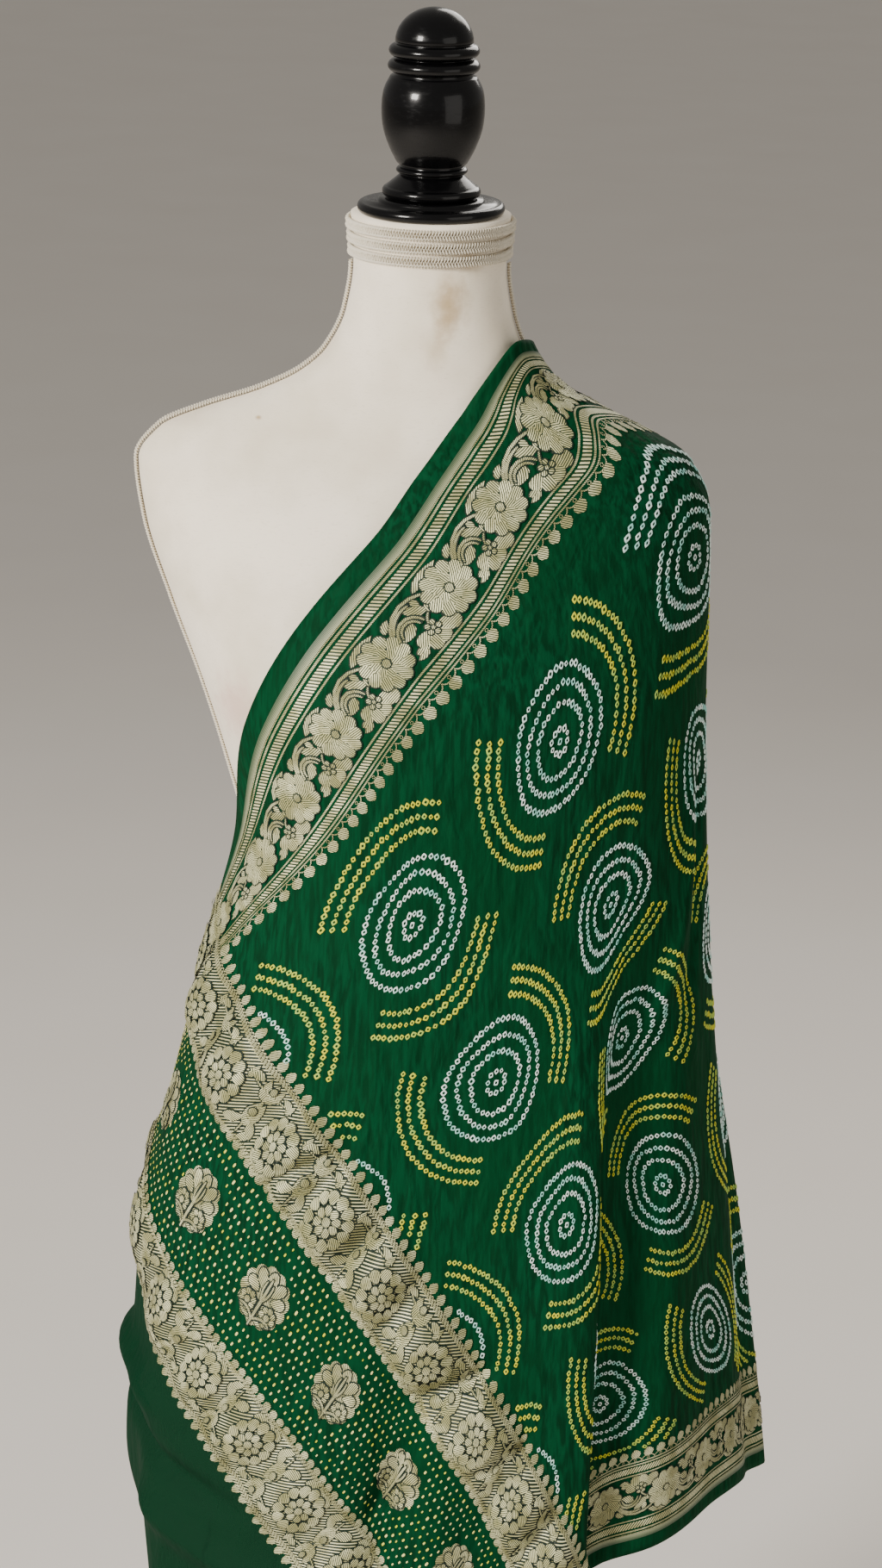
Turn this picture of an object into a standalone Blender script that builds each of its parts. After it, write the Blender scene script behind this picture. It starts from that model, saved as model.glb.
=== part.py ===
"""Bandhani cloth draped over one shoulder of a dress form.

Metres, +Z up. The form faces -Y, and its right arm side lies at +X as seen from the front.
The origin is the middle of the base's underside.
The cloth is one thin closed sheet. It hangs on a hull of half ellipses round the form's axis.
A place on that hull is a turn in degrees (0 front, 90 at +X, 180 back) and a height.
"""

import bpy
import numpy as np

OBJECT = "bandhani_cloth_on_dress_form"

# Driving sizes
BASE_RADIUS = 0.170
BASE_HEIGHT = 0.022
BASE_EASE = 0.006
POLE_RADIUS = 0.016
COLLAR_RADIUS = 0.034
COLLAR_HEIGHT = 0.030
TORSO_FOOT = 0.660
NECK_TOP = 1.508
DISC_RADIUS = 0.0516
DISC_RIM = 0.0075
DISC_STEP = 0.003
DISC_STEP_RADIUS = 0.0375
FORM_TOP = 1.650
DOME_RADIUS = 0.0272
DOME_HEIGHT = 0.0235
URN_ROWS = (
    # radius, below the dome's foot
    (0.0300, 0.0235),
    (0.0345, 0.0330),
    (0.0359, 0.0460),
    (0.0345, 0.0600),
    (0.0300, 0.0730),
    (0.0248, 0.0830),
)
GAP = 0.0003
SKIN_GAP = 0.0005

# The form's body: half width and the two half depths at each height
TORSO_ROWS = (
    # height, left, right, front, back
    (0.660, 0.140, 0.140, 0.098, 0.098),
    (0.780, 0.163, 0.163, 0.116, 0.116),
    (0.860, 0.160, 0.160, 0.112, 0.112),
    (0.940, 0.136, 0.136, 0.098, 0.096),
    (1.010, 0.120, 0.120, 0.088, 0.086),
    (1.060, 0.126, 0.126, 0.094, 0.088),
    (1.110, 0.139, 0.139, 0.110, 0.094),
    (1.170, 0.158, 0.158, 0.120, 0.102),
    (1.230, 0.180, 0.179, 0.106, 0.104),
    (1.290, 0.199, 0.196, 0.084, 0.094),
    (1.330, 0.204, 0.182, 0.062, 0.074),
    (1.353, 0.188, 0.152, 0.048, 0.058),
    (1.367, 0.157, 0.126, 0.042, 0.048),
    (1.380, 0.119, 0.101, 0.040, 0.044),
    (1.395, 0.089, 0.081, 0.042, 0.044),
    (1.412, 0.071, 0.068, 0.046, 0.046),
    (1.440, 0.058, 0.058, 0.048, 0.048),
    (1.472, 0.0535, 0.0535, 0.050, 0.050),
    (1.508, 0.056, 0.056, 0.052, 0.052),
)
TORSO_SIDES = 36
BUST_RISE = 0.008
BUST_SIDE = 0.080
BUST_HEIGHT = 1.160
BUST_SPREAD = 0.045

# The hull that the cloth hangs on, at the middle of its thickness
HULL_ROWS = (
    # height, left, right, front, back
    (0.180, 0.196, 0.292, 0.172, 0.196),
    (0.450, 0.206, 0.272, 0.175, 0.180),
    (0.560, 0.213, 0.260, 0.168, 0.170),
    (0.660, 0.208, 0.250, 0.160, 0.162),
    (0.760, 0.202, 0.240, 0.152, 0.152),
    (0.860, 0.178, 0.228, 0.142, 0.142),
    (0.960, 0.155, 0.218, 0.132, 0.132),
    (1.060, 0.138, 0.211, 0.128, 0.124),
    (1.160, 0.164, 0.206, 0.133, 0.117),
    (1.230, 0.186, 0.205, 0.118, 0.114),
    (1.300, 0.206, 0.203, 0.092, 0.102),
    (1.338, 0.210, 0.186, 0.071, 0.083),
    (1.358, 0.194, 0.153, 0.057, 0.067),
    (1.373, 0.162, 0.122, 0.049, 0.055),
    (1.386, 0.124, 0.099, 0.047, 0.051),
    (1.401, 0.094, 0.084, 0.049, 0.051),
    (1.418, 0.077, 0.074, 0.053, 0.053),
    (1.446, 0.064, 0.064, 0.055, 0.055),
)
SKIN_TO_CLOTH = 0.0055

# How the flat cloth lies: a row for each cross line, at its distance along the cloth. Each pair is a turn and
# a height: on the upper selvedge, the upper border's inner line, the field's upper and lower part, and the
# lower border's inner line, from which that border hangs straight down.
CLOTH_WIDTH = 0.986
BORDER = 0.093
CROSS_STATIONS = (0.0, BORDER, 0.270, 0.586, CLOTH_WIDTH - BORDER)
LAY_ROWS = (
    # along, then turn and height of the edge, the inner line, the upper part, the lower part, the lower line
    (0.000, -150, 0.680, -138, 0.655, -106, 0.590, -57, 0.430, -31, 0.270),
    (0.177, -122, 0.820, -107, 0.790, -62, 0.705, -9, 0.530, 18, 0.335),
    (0.335, -93, 0.976, -73, 0.945, -30, 0.857, 17, 0.643, 42, 0.440),
    (0.493, -50, 1.154, -18, 1.098, 8, 0.965, 38, 0.750, 60, 0.535),
    (0.572, -30, 1.226, -1, 1.167, 22, 1.030, 46, 0.800, 75, 0.546),
    (0.651, -10, 1.296, 15, 1.237, 35, 1.094, 55, 0.845, 91, 0.552),
    (0.730, 6, 1.363, 30, 1.307, 52, 1.145, 77, 0.865, 104, 0.544),
    (0.809, 62, 1.424, 68, 1.361, 71, 1.195, 99, 0.885, 116, 0.535),
    (0.935, 150, 1.378, 140, 1.325, 134, 1.190, 128, 0.860, 144, 0.510),
    (1.070, 184, 1.290, 178, 1.230, 172, 1.060, 168, 0.790, 177, 0.490),
    (1.230, 214, 1.160, 214, 1.095, 214, 0.950, 214, 0.700, 214, 0.470),
)
CLOTH_LENGTH = LAY_ROWS[-1][0]
SHEET = 0.0016
FAN_END = 10.0

# The knife pleat at the right front: where it lies, how deep it is and how it grows downwards
PLEAT_TURN = 38.0
PLEAT_DEPTH = 9.0
PLEAT_TOP = 1.050
PLEAT_FULL = 0.450
PLEAT_LAYER = 0.006
PLEAT_UPRIGHT = 0.50
PLEAT_FLAT = 0.80
PLEAT_EASE = 2.4
PLEAT_RAMP = 30.0
PLEAT_LEAN = 9.0
PLEAT_LEAN_SPREAD = 35.0
PLEAT_SLIP = 0.090

# Single soft folds: a line from its head to its foot, its half width in degrees and how far it stands out
FOLD_ROWS = (
    # head turn, head height, foot turn, foot height, half width, rise
    (-100, 0.900, -96, 0.300, 9, 0.006),
    (-80, 0.900, -76, 0.260, 8, -0.010),
    (-62, 0.760, -56, 0.220, 8, 0.012),
    (-40, 0.700, -38, 0.200, 8, -0.009),
    (6, 0.800, -4, 0.560, 5, -0.012),
    (12, 0.760, 8, 0.520, 5, 0.008),
    (62, 1.150, 66, 0.420, 7, 0.006),
    (80, 1.200, 84, 0.400, 8, -0.006),
)

# Even flutes that gather the back
FLUTE_FROM = 104.0
FLUTE_TO = 212.0
FLUTE_COUNT = 6
FLUTE_TOP = 1.320
FLUTE_FULL = 0.500
FLUTE_RISE = 0.022

FAN_STEPS = 18
DOWN_STEPS = 24
DOWN_CROWDING = 1.4
COLUMN_STOPS = (
    # from, to, steps
    (10.0, 30.0, 5),
    (30.0, 36.0, 3),
    (36.0, 50.0, 14),
    (50.0, 104.0, 14),
    (104.0, 214.0, 31),
)

SLOPE_STEP = 0.5
SLOPE_DROP = 0.004


def table(rows):
    """The first column, and the others as an array."""
    values = np.array(rows, dtype=float)
    return values[:, 0], values[:, 1:]


def along_rows(rows, place):
    """Smooth values between a table's rows, which never overshoot them."""
    keys, values = table(rows)
    slopes = np.diff(values, axis=0) / np.diff(keys)[:, None]
    tangents = np.zeros_like(values)
    product = slopes[1:] * slopes[:-1]
    total = slopes[1:] + slopes[:-1]
    total[product <= 0] = 1.0
    tangents[1:-1] = np.where(product > 0, 2 * product / total, 0.0)
    tangents[0] = slopes[0]
    tangents[-1] = slopes[-1]
    place = np.clip(place, keys[0], keys[-1])
    row = np.clip(np.searchsorted(keys, place, side="right") - 1, 0, len(keys) - 2)
    step = (keys[row + 1] - keys[row])[..., None]
    q = (place - keys[row])[..., None] / step
    return (values[row] * (1 + 2 * q) * (1 - q) ** 2 + tangents[row] * step * q * (1 - q) ** 2
            + values[row + 1] * q * q * (3 - 2 * q) + tangents[row + 1] * step * q * q * (q - 1))


def ease(x):
    """0 below 0, 1 above 1, and smooth between."""
    x = np.clip(x, 0.0, 1.0)
    return x * x * (3 - 2 * x)


def half_ellipses(turn, left, right, front, back):
    """Points round an axis with another half size on each of its four sides."""
    angle = np.radians(turn)
    x = np.where(np.sin(angle) > 0, right, left) * np.sin(angle)
    y = -np.where(np.cos(angle) > 0, front, back) * np.cos(angle)
    return x, y


def torso_point(turn, height, away=0.0):
    """The form's skin, with the two low swells of the bust."""
    size = along_rows(TORSO_ROWS, height)
    left, right, front, back = (size[..., i] + away for i in range(4))
    x, y = half_ellipses(turn, left, right, front, back)
    reach = ((np.abs(x) - BUST_SIDE) ** 2 + (height - BUST_HEIGHT) ** 2) / BUST_SPREAD ** 2
    swell = BUST_RISE * np.exp(-reach) * np.clip(-y / 0.05, 0.0, 1.0)
    return np.stack([x, y - swell, height + 0 * x], axis=-1)


def hull_point(turn, height):
    """The hull of the cloth, which never comes nearer the form than the skin's clearance."""
    hull = along_rows(HULL_ROWS, height)
    body = along_rows(TORSO_ROWS, height) + SKIN_TO_CLOTH
    x, y = half_ellipses(turn, *(np.maximum(hull[..., i], body[..., i]) for i in range(4)))
    return np.stack([x, y, height + 0 * x], axis=-1)


def hull_normal(turn, height):
    """The hull's outward direction, from two short steps on it."""
    across = hull_point(turn + SLOPE_STEP, height) - hull_point(turn - SLOPE_STEP, height)
    upward = hull_point(turn, height + SLOPE_DROP) - hull_point(turn, height - SLOPE_DROP)
    normal = np.cross(across, upward)
    return normal / np.linalg.norm(normal, axis=-1, keepdims=True)


def pleat_growth(height):
    """How far the pleat has opened at a height, from 0 at its top to 1."""
    return np.clip((PLEAT_TOP - height) / (PLEAT_TOP - PLEAT_FULL), 0.0, 1.0)


def pleat_taken(column):
    """How far a column lies through the pleat's turned-back layer, from 0 to 1, with rounded ends."""
    low = (column - PLEAT_TURN) / PLEAT_DEPTH
    soft = PLEAT_EASE / PLEAT_DEPTH / 4
    rise = np.logaddexp(0, low / soft) - np.logaddexp(0, (low - 1) / soft)
    return soft * rise


def soft_folds(column, height):
    """The single folds, as low ridges and troughs along their own lines."""
    rise = 0.0 * column
    for head_turn, head_height, foot_turn, foot_height, half_width, depth in FOLD_ROWS:
        down = (head_height - height) / (head_height - foot_height)
        centre = head_turn + (foot_turn - head_turn) * down
        rise = rise + depth * ease(down) * np.exp(-((column - centre) / half_width) ** 2)
    return rise


def flutes(column, height):
    """The back's gathers, which deepen from the shoulder to the hem."""
    down = (FLUTE_TOP - height) / (FLUTE_TOP - FLUTE_FULL)
    wave = (column - FLUTE_FROM) / (FLUTE_TO - FLUTE_FROM)
    inside = ease(wave / 0.12) * ease((1 - wave) / 0.06 + 0.4)
    ripple = 0.5 - 0.5 * np.cos(2 * np.pi * FLUTE_COUNT * wave)
    return FLUTE_RISE * ease(down) * inside * ripple


def drape(column, height):
    """Where the unpleated cloth's column and height come to lie."""
    growth = pleat_growth(height)
    taken = pleat_taken(column)
    lean = PLEAT_LEAN * np.exp(-((column - PLEAT_TURN) / PLEAT_LEAN_SPREAD) ** 2)
    turn = column - growth * (lean + 2 * PLEAT_DEPTH * taken)
    risen = height + PLEAT_SLIP * growth * taken
    ramp = ease((column - PLEAT_TURN + PLEAT_RAMP) / PLEAT_RAMP)
    edge_turn = ease((column - PLEAT_TURN) / PLEAT_EASE + 0.5)
    inner_turn = ease((column - PLEAT_TURN - PLEAT_DEPTH) / PLEAT_EASE + 0.5)
    turned_over = ease((growth - PLEAT_UPRIGHT) / (PLEAT_FLAT - PLEAT_UPRIGHT))
    step_down = (1 - turned_over) * taken + turned_over * (edge_turn + inner_turn) / 2
    lift = 2 * PLEAT_LAYER * ease(growth / PLEAT_UPRIGHT) * (ramp - step_down)
    lift = lift + soft_folds(column, height) + flutes(column, height)
    return hull_point(turn, risen) + hull_normal(turn, risen) * lift[..., None]


def lay(along, across):
    """The turn and the height at which a place of the flat cloth lies, before the pleat is folded."""
    pairs = along_rows(LAY_ROWS, along).reshape(-1, len(CROSS_STATIONS), 2)
    stations = np.array(CROSS_STATIONS)
    steps = np.diff(stations)
    slopes = np.diff(pairs, axis=1) / steps[:, None]
    weights = steps[:, None]
    middle = (slopes[:, :-1] * weights[1:] + slopes[:, 1:] * weights[:-1]) / (weights[1:] + weights[:-1])
    tangents = np.concatenate([slopes[:, :1], middle, slopes[:, -1:]], axis=1)
    inside = np.clip(across, stations[0], stations[-1])
    row = np.clip(np.searchsorted(stations, inside, side="right") - 1, 0, len(steps) - 1)
    step = steps[row][:, None]
    q = ((inside - stations[row]) / steps[row])[:, None]
    each = np.arange(len(pairs))
    place = (pairs[each, row] * (1 + 2 * q) * (1 - q) ** 2 + tangents[each, row] * step * q * (1 - q) ** 2
             + pairs[each, row + 1] * q * q * (3 - 2 * q) + tangents[each, row + 1] * step * q * q * (q - 1))
    return place[:, 0], place[:, 1] - (across - inside)


def long_edge(across, column):
    """The height of one of the cloth's long edges over a column."""
    along = np.linspace(0, CLOTH_LENGTH, 400)
    turns, heights = lay(along, across + 0 * along)
    return np.interp(column, turns, heights)


def sheet_grid():
    """Columns and heights over the whole cloth: a fan from the cut end, then upright columns."""
    down = np.linspace(0, 1, DOWN_STEPS + 1) ** DOWN_CROWDING
    fan = np.linspace(0, 1, FAN_STEPS + 1)[:-1, None]
    end_turn, end_height = lay(0 * down, CLOTH_WIDTH * down)
    top_turn = end_turn[0] + (FAN_END - end_turn[0]) * fan
    foot_turn = end_turn[-1] + (FAN_END - end_turn[-1]) * fan
    top = long_edge(0.0, top_turn)
    foot = long_edge(CLOTH_WIDTH, foot_turn)
    last_top = long_edge(0.0, FAN_END)
    last = last_top + (long_edge(CLOTH_WIDTH, FAN_END) - last_top) * down

    def patch(end, right, upper, lower):
        corners = ((1 - fan) * ((1 - down) * end[0] + down * end[-1])
                   + fan * ((1 - down) * right[0] + down * right[-1]))
        return (1 - fan) * end + fan * right + (1 - down) * upper + down * lower - corners

    fan_turn = patch(end_turn, FAN_END + 0 * down, top_turn, foot_turn)
    fan_height = patch(end_height, last, top, foot)
    stops = [np.linspace(a, b, steps, endpoint=False) for a, b, steps in COLUMN_STOPS]
    upright = np.concatenate(stops + [[COLUMN_STOPS[-1][1]]])[:, None]
    top = long_edge(0.0, upright)
    foot = long_edge(CLOTH_WIDTH, upright)
    turns = np.concatenate([fan_turn, upright + 0 * down])
    heights = np.concatenate([fan_height, top + (foot - top) * down])
    return turns, heights


def grid_normals(points):
    """Outward directions on a grid of points, from its neighbours' differences."""
    normal = np.cross(np.gradient(points, axis=0), -np.gradient(points, axis=1))
    return normal / np.linalg.norm(normal, axis=-1, keepdims=True)


def material(name, colour, roughness, metallic=0.0):
    made = bpy.data.materials.new(name)
    made.use_nodes = True
    shader = made.node_tree.nodes["Principled BSDF"]
    shader.inputs["Base Color"].default_value = (*colour, 1.0)
    shader.inputs["Roughness"].default_value = roughness
    shader.inputs["Metallic"].default_value = metallic
    return made


def add_object(name, data, made_of, collection):
    piece = bpy.data.objects.new(name, data)
    data.materials.append(made_of)
    collection.objects.link(piece)
    return piece


def mesh_object(name, points, faces, made_of, collection):
    mesh = bpy.data.meshes.new(name)
    mesh.from_pydata([tuple(p) for p in points], [], faces)
    mesh.shade_smooth()
    return add_object(name, mesh, made_of, collection)


def thick_sheet(name, points, thickness, made_of, collection):
    """A grid of points given two skins and a rim."""
    columns, rows = points.shape[:2]
    half = grid_normals(points) * thickness / 2
    skins = np.concatenate([(points + half).reshape(-1, 3), (points - half).reshape(-1, 3)])
    count = columns * rows
    faces = []
    for i in range(columns - 1):
        for j in range(rows - 1):
            a = i * rows + j
            b = a + rows
            faces.append((a, a + 1, b + 1, b))
            faces.append((a + count, b + count, b + 1 + count, a + 1 + count))
    ring = list(range(rows))
    ring += [i * rows + rows - 1 for i in range(1, columns)]
    ring += [(columns - 1) * rows + j for j in range(rows - 2, -1, -1)]
    ring += [i * rows for i in range(columns - 2, 0, -1)]
    for a, b in zip(ring, ring[1:] + ring[:1]):
        faces.append((b, a, a + count, b + count))
    return mesh_object(name, skins, faces, made_of, collection)


def ring_loft(name, rings, made_of, collection, closed=False):
    """A skin over rings of equal count. It is capped at both ends, or closed on itself."""
    sides = len(rings[0])
    faces = []
    last = len(rings) if closed else len(rings) - 1
    for i in range(last):
        for j in range(sides):
            k = (j + 1) % sides
            a = i * sides
            b = (i + 1) % len(rings) * sides
            faces.append((a + j, a + k, b + k, b + j))
    if not closed:
        faces.append(tuple(range(sides))[::-1])
        faces.append(tuple((len(rings) - 1) * sides + j for j in range(sides)))
    return mesh_object(name, np.concatenate(rings), faces, made_of, collection)


def turned(name, profile, made_of, collection, steps=32):
    """A profile of radii and heights, top to bottom on its outer side, turned about the axis."""
    mesh = bpy.data.meshes.new(name)
    points = [(radius, 0.0, height) for radius, height in profile]
    mesh.from_pydata(points, [(i, i + 1) for i in range(len(points) - 1)], [])
    piece = add_object(name, mesh, made_of, collection)
    screw = piece.modifiers.new("turn", "SCREW")
    screw.steps = steps
    screw.render_steps = steps
    screw.use_merge_vertices = True
    screw.merge_threshold = 0.00001
    screw.use_smooth_shade = True
    return piece


def bead(radius, middle, half_height, swell, points=5):
    """A rounded ring's outer profile, top to bottom."""
    angles = np.linspace(np.pi / 2, -np.pi / 2, points)
    return [(radius + swell * np.cos(a), middle + half_height * np.sin(a)) for a in angles]


def make_torso(made_of, collection):
    heights = np.array([row[0] for row in TORSO_ROWS])
    between = (heights[:-1] + heights[1:]) / 2
    wide = np.diff(heights) > 0.025
    heights = np.sort(np.concatenate([heights, between[wide]]))
    turns = np.arange(TORSO_SIDES) * 360.0 / TORSO_SIDES
    rings = [torso_point(turns, height + 0 * turns) for height in heights]
    ring_loft("torso", rings, made_of, collection)
    return heights


def make_neck_braid(made_of, collection):
    """Three rounded rows of braid, one above the other, round the top of the neck."""
    foot = 1.478
    rows = 3
    row_height = (NECK_TOP - 0.002 - foot) / rows
    thick = 0.0026
    turns = np.arange(TORSO_SIDES) * 360.0 / TORSO_SIDES
    profile = [(SKIN_GAP, foot), (SKIN_GAP, NECK_TOP - 0.002)]
    for row in range(rows - 1, -1, -1):
        middle = foot + (row + 0.5) * row_height
        profile += [(thick * 0.55, middle + 0.42 * row_height), (thick, middle),
                    (thick * 0.55, middle - 0.42 * row_height)]
    rings = [torso_point(turns, height + 0 * turns, away) for away, height in profile]
    ring_loft("neck_braid", rings[::-1], made_of, collection, closed=True)


def make_side_braid(name, side, heights, made_of, collection):
    """A cord that lies on the shoulder and side seam."""
    thick = 0.0010
    away = thick + SKIN_GAP
    path = [h for h in heights if 0.70 < h < 1.474][::-1]
    width = along_rows(TORSO_ROWS, np.array(path))[:, 0 if side < 0 else 1]
    step = np.gradient(width, np.array(path))
    outward = np.stack([np.ones_like(step), -step], axis=-1)
    outward /= np.linalg.norm(outward, axis=-1, keepdims=True)
    curve = bpy.data.curves.new(name, "CURVE")
    curve.dimensions = "3D"
    curve.bevel_depth = thick
    curve.bevel_resolution = 1
    curve.use_fill_caps = True
    spline = curve.splines.new("POLY")
    spline.points.add(len(path) - 1)
    for point, x, h, (out, up) in zip(spline.points, width, path, outward):
        point.co = (side * (x + away * out), 0.0, h + away * up, 1.0)
    add_object(name, curve, made_of, collection)


def make_neck_disc(made_of, collection):
    foot = NECK_TOP + GAP
    rim_top = foot + DISC_RIM
    top = rim_top + DISC_STEP
    ease_edge = DISC_STEP / 2
    profile = [(0.0, top), (DISC_STEP_RADIUS - ease_edge, top), (DISC_STEP_RADIUS, top - ease_edge),
               (DISC_STEP_RADIUS, rim_top), (DISC_RADIUS - ease_edge, rim_top),
               (DISC_RADIUS, rim_top - ease_edge), (DISC_RADIUS, foot + 0.001), (DISC_RADIUS - 0.001, foot),
               (0.0, foot)]
    turned("neck_disc", profile, made_of, collection)
    return top


def make_finial(seat, made_of, collection):
    """The turned knob: a dome over two beads, an urn and a stepped foot."""
    foot = seat + GAP
    dome_foot = FORM_TOP - DOME_HEIGHT
    angles = np.radians([0, 25, 45, 62, 78, 90])
    dome = [(DOME_RADIUS * np.sin(a), dome_foot + DOME_HEIGHT * np.cos(a)) for a in angles]
    beads = bead(0.0255, dome_foot - 0.0060, 0.0048, 0.0060)
    beads += bead(0.0255, dome_foot - 0.0165, 0.0050, 0.0066)
    urn = [(radius, dome_foot - below) for radius, below in URN_ROWS]
    steps = bead(0.0215, foot + 0.0190, 0.0024, 0.0035)
    steps += [(0.0262, foot + 0.0125), (0.0310, foot + 0.0085)]
    rim = bead(0.0318, foot + 0.0042, 0.0034, 0.0026)
    profile = dome + beads + urn + steps + rim + [(0.0318, foot), (0.0, foot)]
    turned("finial", profile, made_of, collection, steps=26)


def make_stand(made_of, collection):
    base = [(0.0, BASE_HEIGHT), (0.040, BASE_HEIGHT), (0.120, BASE_HEIGHT - 0.003),
            (BASE_RADIUS - BASE_EASE, BASE_HEIGHT - 0.006), (BASE_RADIUS, BASE_HEIGHT - 0.006 - BASE_EASE),
            (BASE_RADIUS, 0.002), (BASE_RADIUS - 0.002, 0.0), (0.0, 0.0)]
    turned("base", base, made_of, collection, steps=48)
    top = TORSO_FOOT - GAP
    foot = BASE_HEIGHT + GAP
    pole = [(0.0, top), (COLLAR_RADIUS, top), (COLLAR_RADIUS, top - COLLAR_HEIGHT * 0.7),
            (POLE_RADIUS, top - COLLAR_HEIGHT), (POLE_RADIUS, foot + 0.030), (0.030, foot + 0.006),
            (0.030, foot), (0.0, foot)]
    turned("pole", pole, made_of, collection, steps=24)


def make_cloth(made_of, collection):
    columns, heights = sheet_grid()
    thick_sheet("cloth", drape(columns, heights), SHEET, made_of, collection)


def main():
    for old in list(bpy.data.objects):
        bpy.data.objects.remove(old, do_unlink=True)
    parts = bpy.data.collections.new(OBJECT)
    bpy.context.scene.collection.children.link(parts)
    linen = material("linen", (0.76, 0.71, 0.63), 0.85)
    braid = material("braid", (0.80, 0.76, 0.68), 0.80)
    black = material("black_lacquer", (0.006, 0.006, 0.007), 0.16)
    paint = material("black_paint", (0.010, 0.010, 0.011), 0.35)
    green = material("green_georgette", (0.001, 0.068, 0.028), 0.62)
    heights = make_torso(linen, parts)
    make_neck_braid(braid, parts)
    make_side_braid("side_braid_left", -1.0, heights, braid, parts)
    make_side_braid("side_braid_right", 1.0, heights, braid, parts)
    make_finial(make_neck_disc(black, parts), black, parts)
    make_stand(paint, parts)
    make_cloth(green, parts)


main()
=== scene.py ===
"""Looks of a bandhani cloth draped over one shoulder of a dress form.

Metres, +Z up. The form faces -Y and the shoulder that carries the cloth is at +X.
The cloth is worked out on its flat cut: u runs along it from its loose end, v across it from its upper
selvedge. lay() says at which turn and height round the form a place of the flat cloth hangs, and drape()
gives the point in space. Borders, bands, sprigs and tied dots are drawn in u and v and laid on the same
surface.
"""

import bmesh
import bpy
import numpy as np
from mathutils import Matrix


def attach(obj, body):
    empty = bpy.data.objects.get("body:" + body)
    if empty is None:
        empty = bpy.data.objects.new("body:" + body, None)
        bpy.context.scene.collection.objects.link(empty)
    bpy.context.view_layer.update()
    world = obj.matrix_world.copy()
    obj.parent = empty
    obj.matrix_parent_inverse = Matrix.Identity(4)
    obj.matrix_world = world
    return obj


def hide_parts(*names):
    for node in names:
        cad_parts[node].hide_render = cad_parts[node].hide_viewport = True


bl_info = {
    "name": "Bandhani cloth on a dress form",
    "version": (1, 0, 0),
    "blender": (4, 5, 0),
    "location": "View3D > Sidebar > Bandhani",
    "description": "Dresses the packed cloth and its form with weave, dots, braid and lacquer",
    "category": "Object",
}

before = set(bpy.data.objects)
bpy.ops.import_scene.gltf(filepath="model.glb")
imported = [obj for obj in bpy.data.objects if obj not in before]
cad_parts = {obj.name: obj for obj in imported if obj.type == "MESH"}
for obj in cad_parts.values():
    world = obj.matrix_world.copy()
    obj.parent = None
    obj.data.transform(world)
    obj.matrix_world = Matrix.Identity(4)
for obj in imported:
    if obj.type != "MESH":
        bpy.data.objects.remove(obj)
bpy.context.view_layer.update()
MM = 0.001

# The form, as in the part
NECK_TOP = 1.508
DISC_RADIUS = 0.0516
DISC_RIM = 0.0075
DISC_STEP = 0.003
DISC_STEP_RADIUS = 0.0375
FORM_TOP = 1.650
DOME_RADIUS = 0.0272
DOME_HEIGHT = 0.0235
GAP = 0.0003
TORSO_ROWS = (
    # height, left, right, front, back
    (0.660, 0.140, 0.140, 0.098, 0.098),
    (0.780, 0.163, 0.163, 0.116, 0.116),
    (0.860, 0.160, 0.160, 0.112, 0.112),
    (0.940, 0.136, 0.136, 0.098, 0.096),
    (1.010, 0.120, 0.120, 0.088, 0.086),
    (1.060, 0.126, 0.126, 0.094, 0.088),
    (1.110, 0.139, 0.139, 0.110, 0.094),
    (1.170, 0.158, 0.158, 0.120, 0.102),
    (1.230, 0.180, 0.179, 0.106, 0.104),
    (1.290, 0.199, 0.196, 0.084, 0.094),
    (1.330, 0.204, 0.182, 0.062, 0.074),
    (1.353, 0.188, 0.152, 0.048, 0.058),
    (1.367, 0.157, 0.126, 0.042, 0.048),
    (1.380, 0.119, 0.101, 0.040, 0.044),
    (1.395, 0.089, 0.081, 0.042, 0.044),
    (1.412, 0.071, 0.068, 0.046, 0.046),
    (1.440, 0.058, 0.058, 0.048, 0.048),
    (1.472, 0.0535, 0.0535, 0.050, 0.050),
    (1.508, 0.056, 0.056, 0.052, 0.052),
)
BUST_RISE = 0.008
BUST_SIDE = 0.080
BUST_HEIGHT = 1.160
BUST_SPREAD = 0.045

# The hull that the cloth hangs on, as in the part
HULL_ROWS = (
    # height, left, right, front, back
    (0.180, 0.196, 0.292, 0.172, 0.196),
    (0.450, 0.206, 0.272, 0.175, 0.180),
    (0.560, 0.213, 0.260, 0.168, 0.170),
    (0.660, 0.208, 0.250, 0.160, 0.162),
    (0.760, 0.202, 0.240, 0.152, 0.152),
    (0.860, 0.178, 0.228, 0.142, 0.142),
    (0.960, 0.155, 0.218, 0.132, 0.132),
    (1.060, 0.138, 0.211, 0.128, 0.124),
    (1.160, 0.164, 0.206, 0.133, 0.117),
    (1.230, 0.186, 0.205, 0.118, 0.114),
    (1.300, 0.206, 0.203, 0.092, 0.102),
    (1.338, 0.210, 0.186, 0.071, 0.083),
    (1.358, 0.194, 0.153, 0.057, 0.067),
    (1.373, 0.162, 0.122, 0.049, 0.055),
    (1.386, 0.124, 0.099, 0.047, 0.051),
    (1.401, 0.094, 0.084, 0.049, 0.051),
    (1.418, 0.077, 0.074, 0.053, 0.053),
    (1.446, 0.064, 0.064, 0.055, 0.055),
)
SKIN_TO_CLOTH = 0.0055
SLOPE_STEP = 0.5
SLOPE_DROP = 0.004

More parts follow.
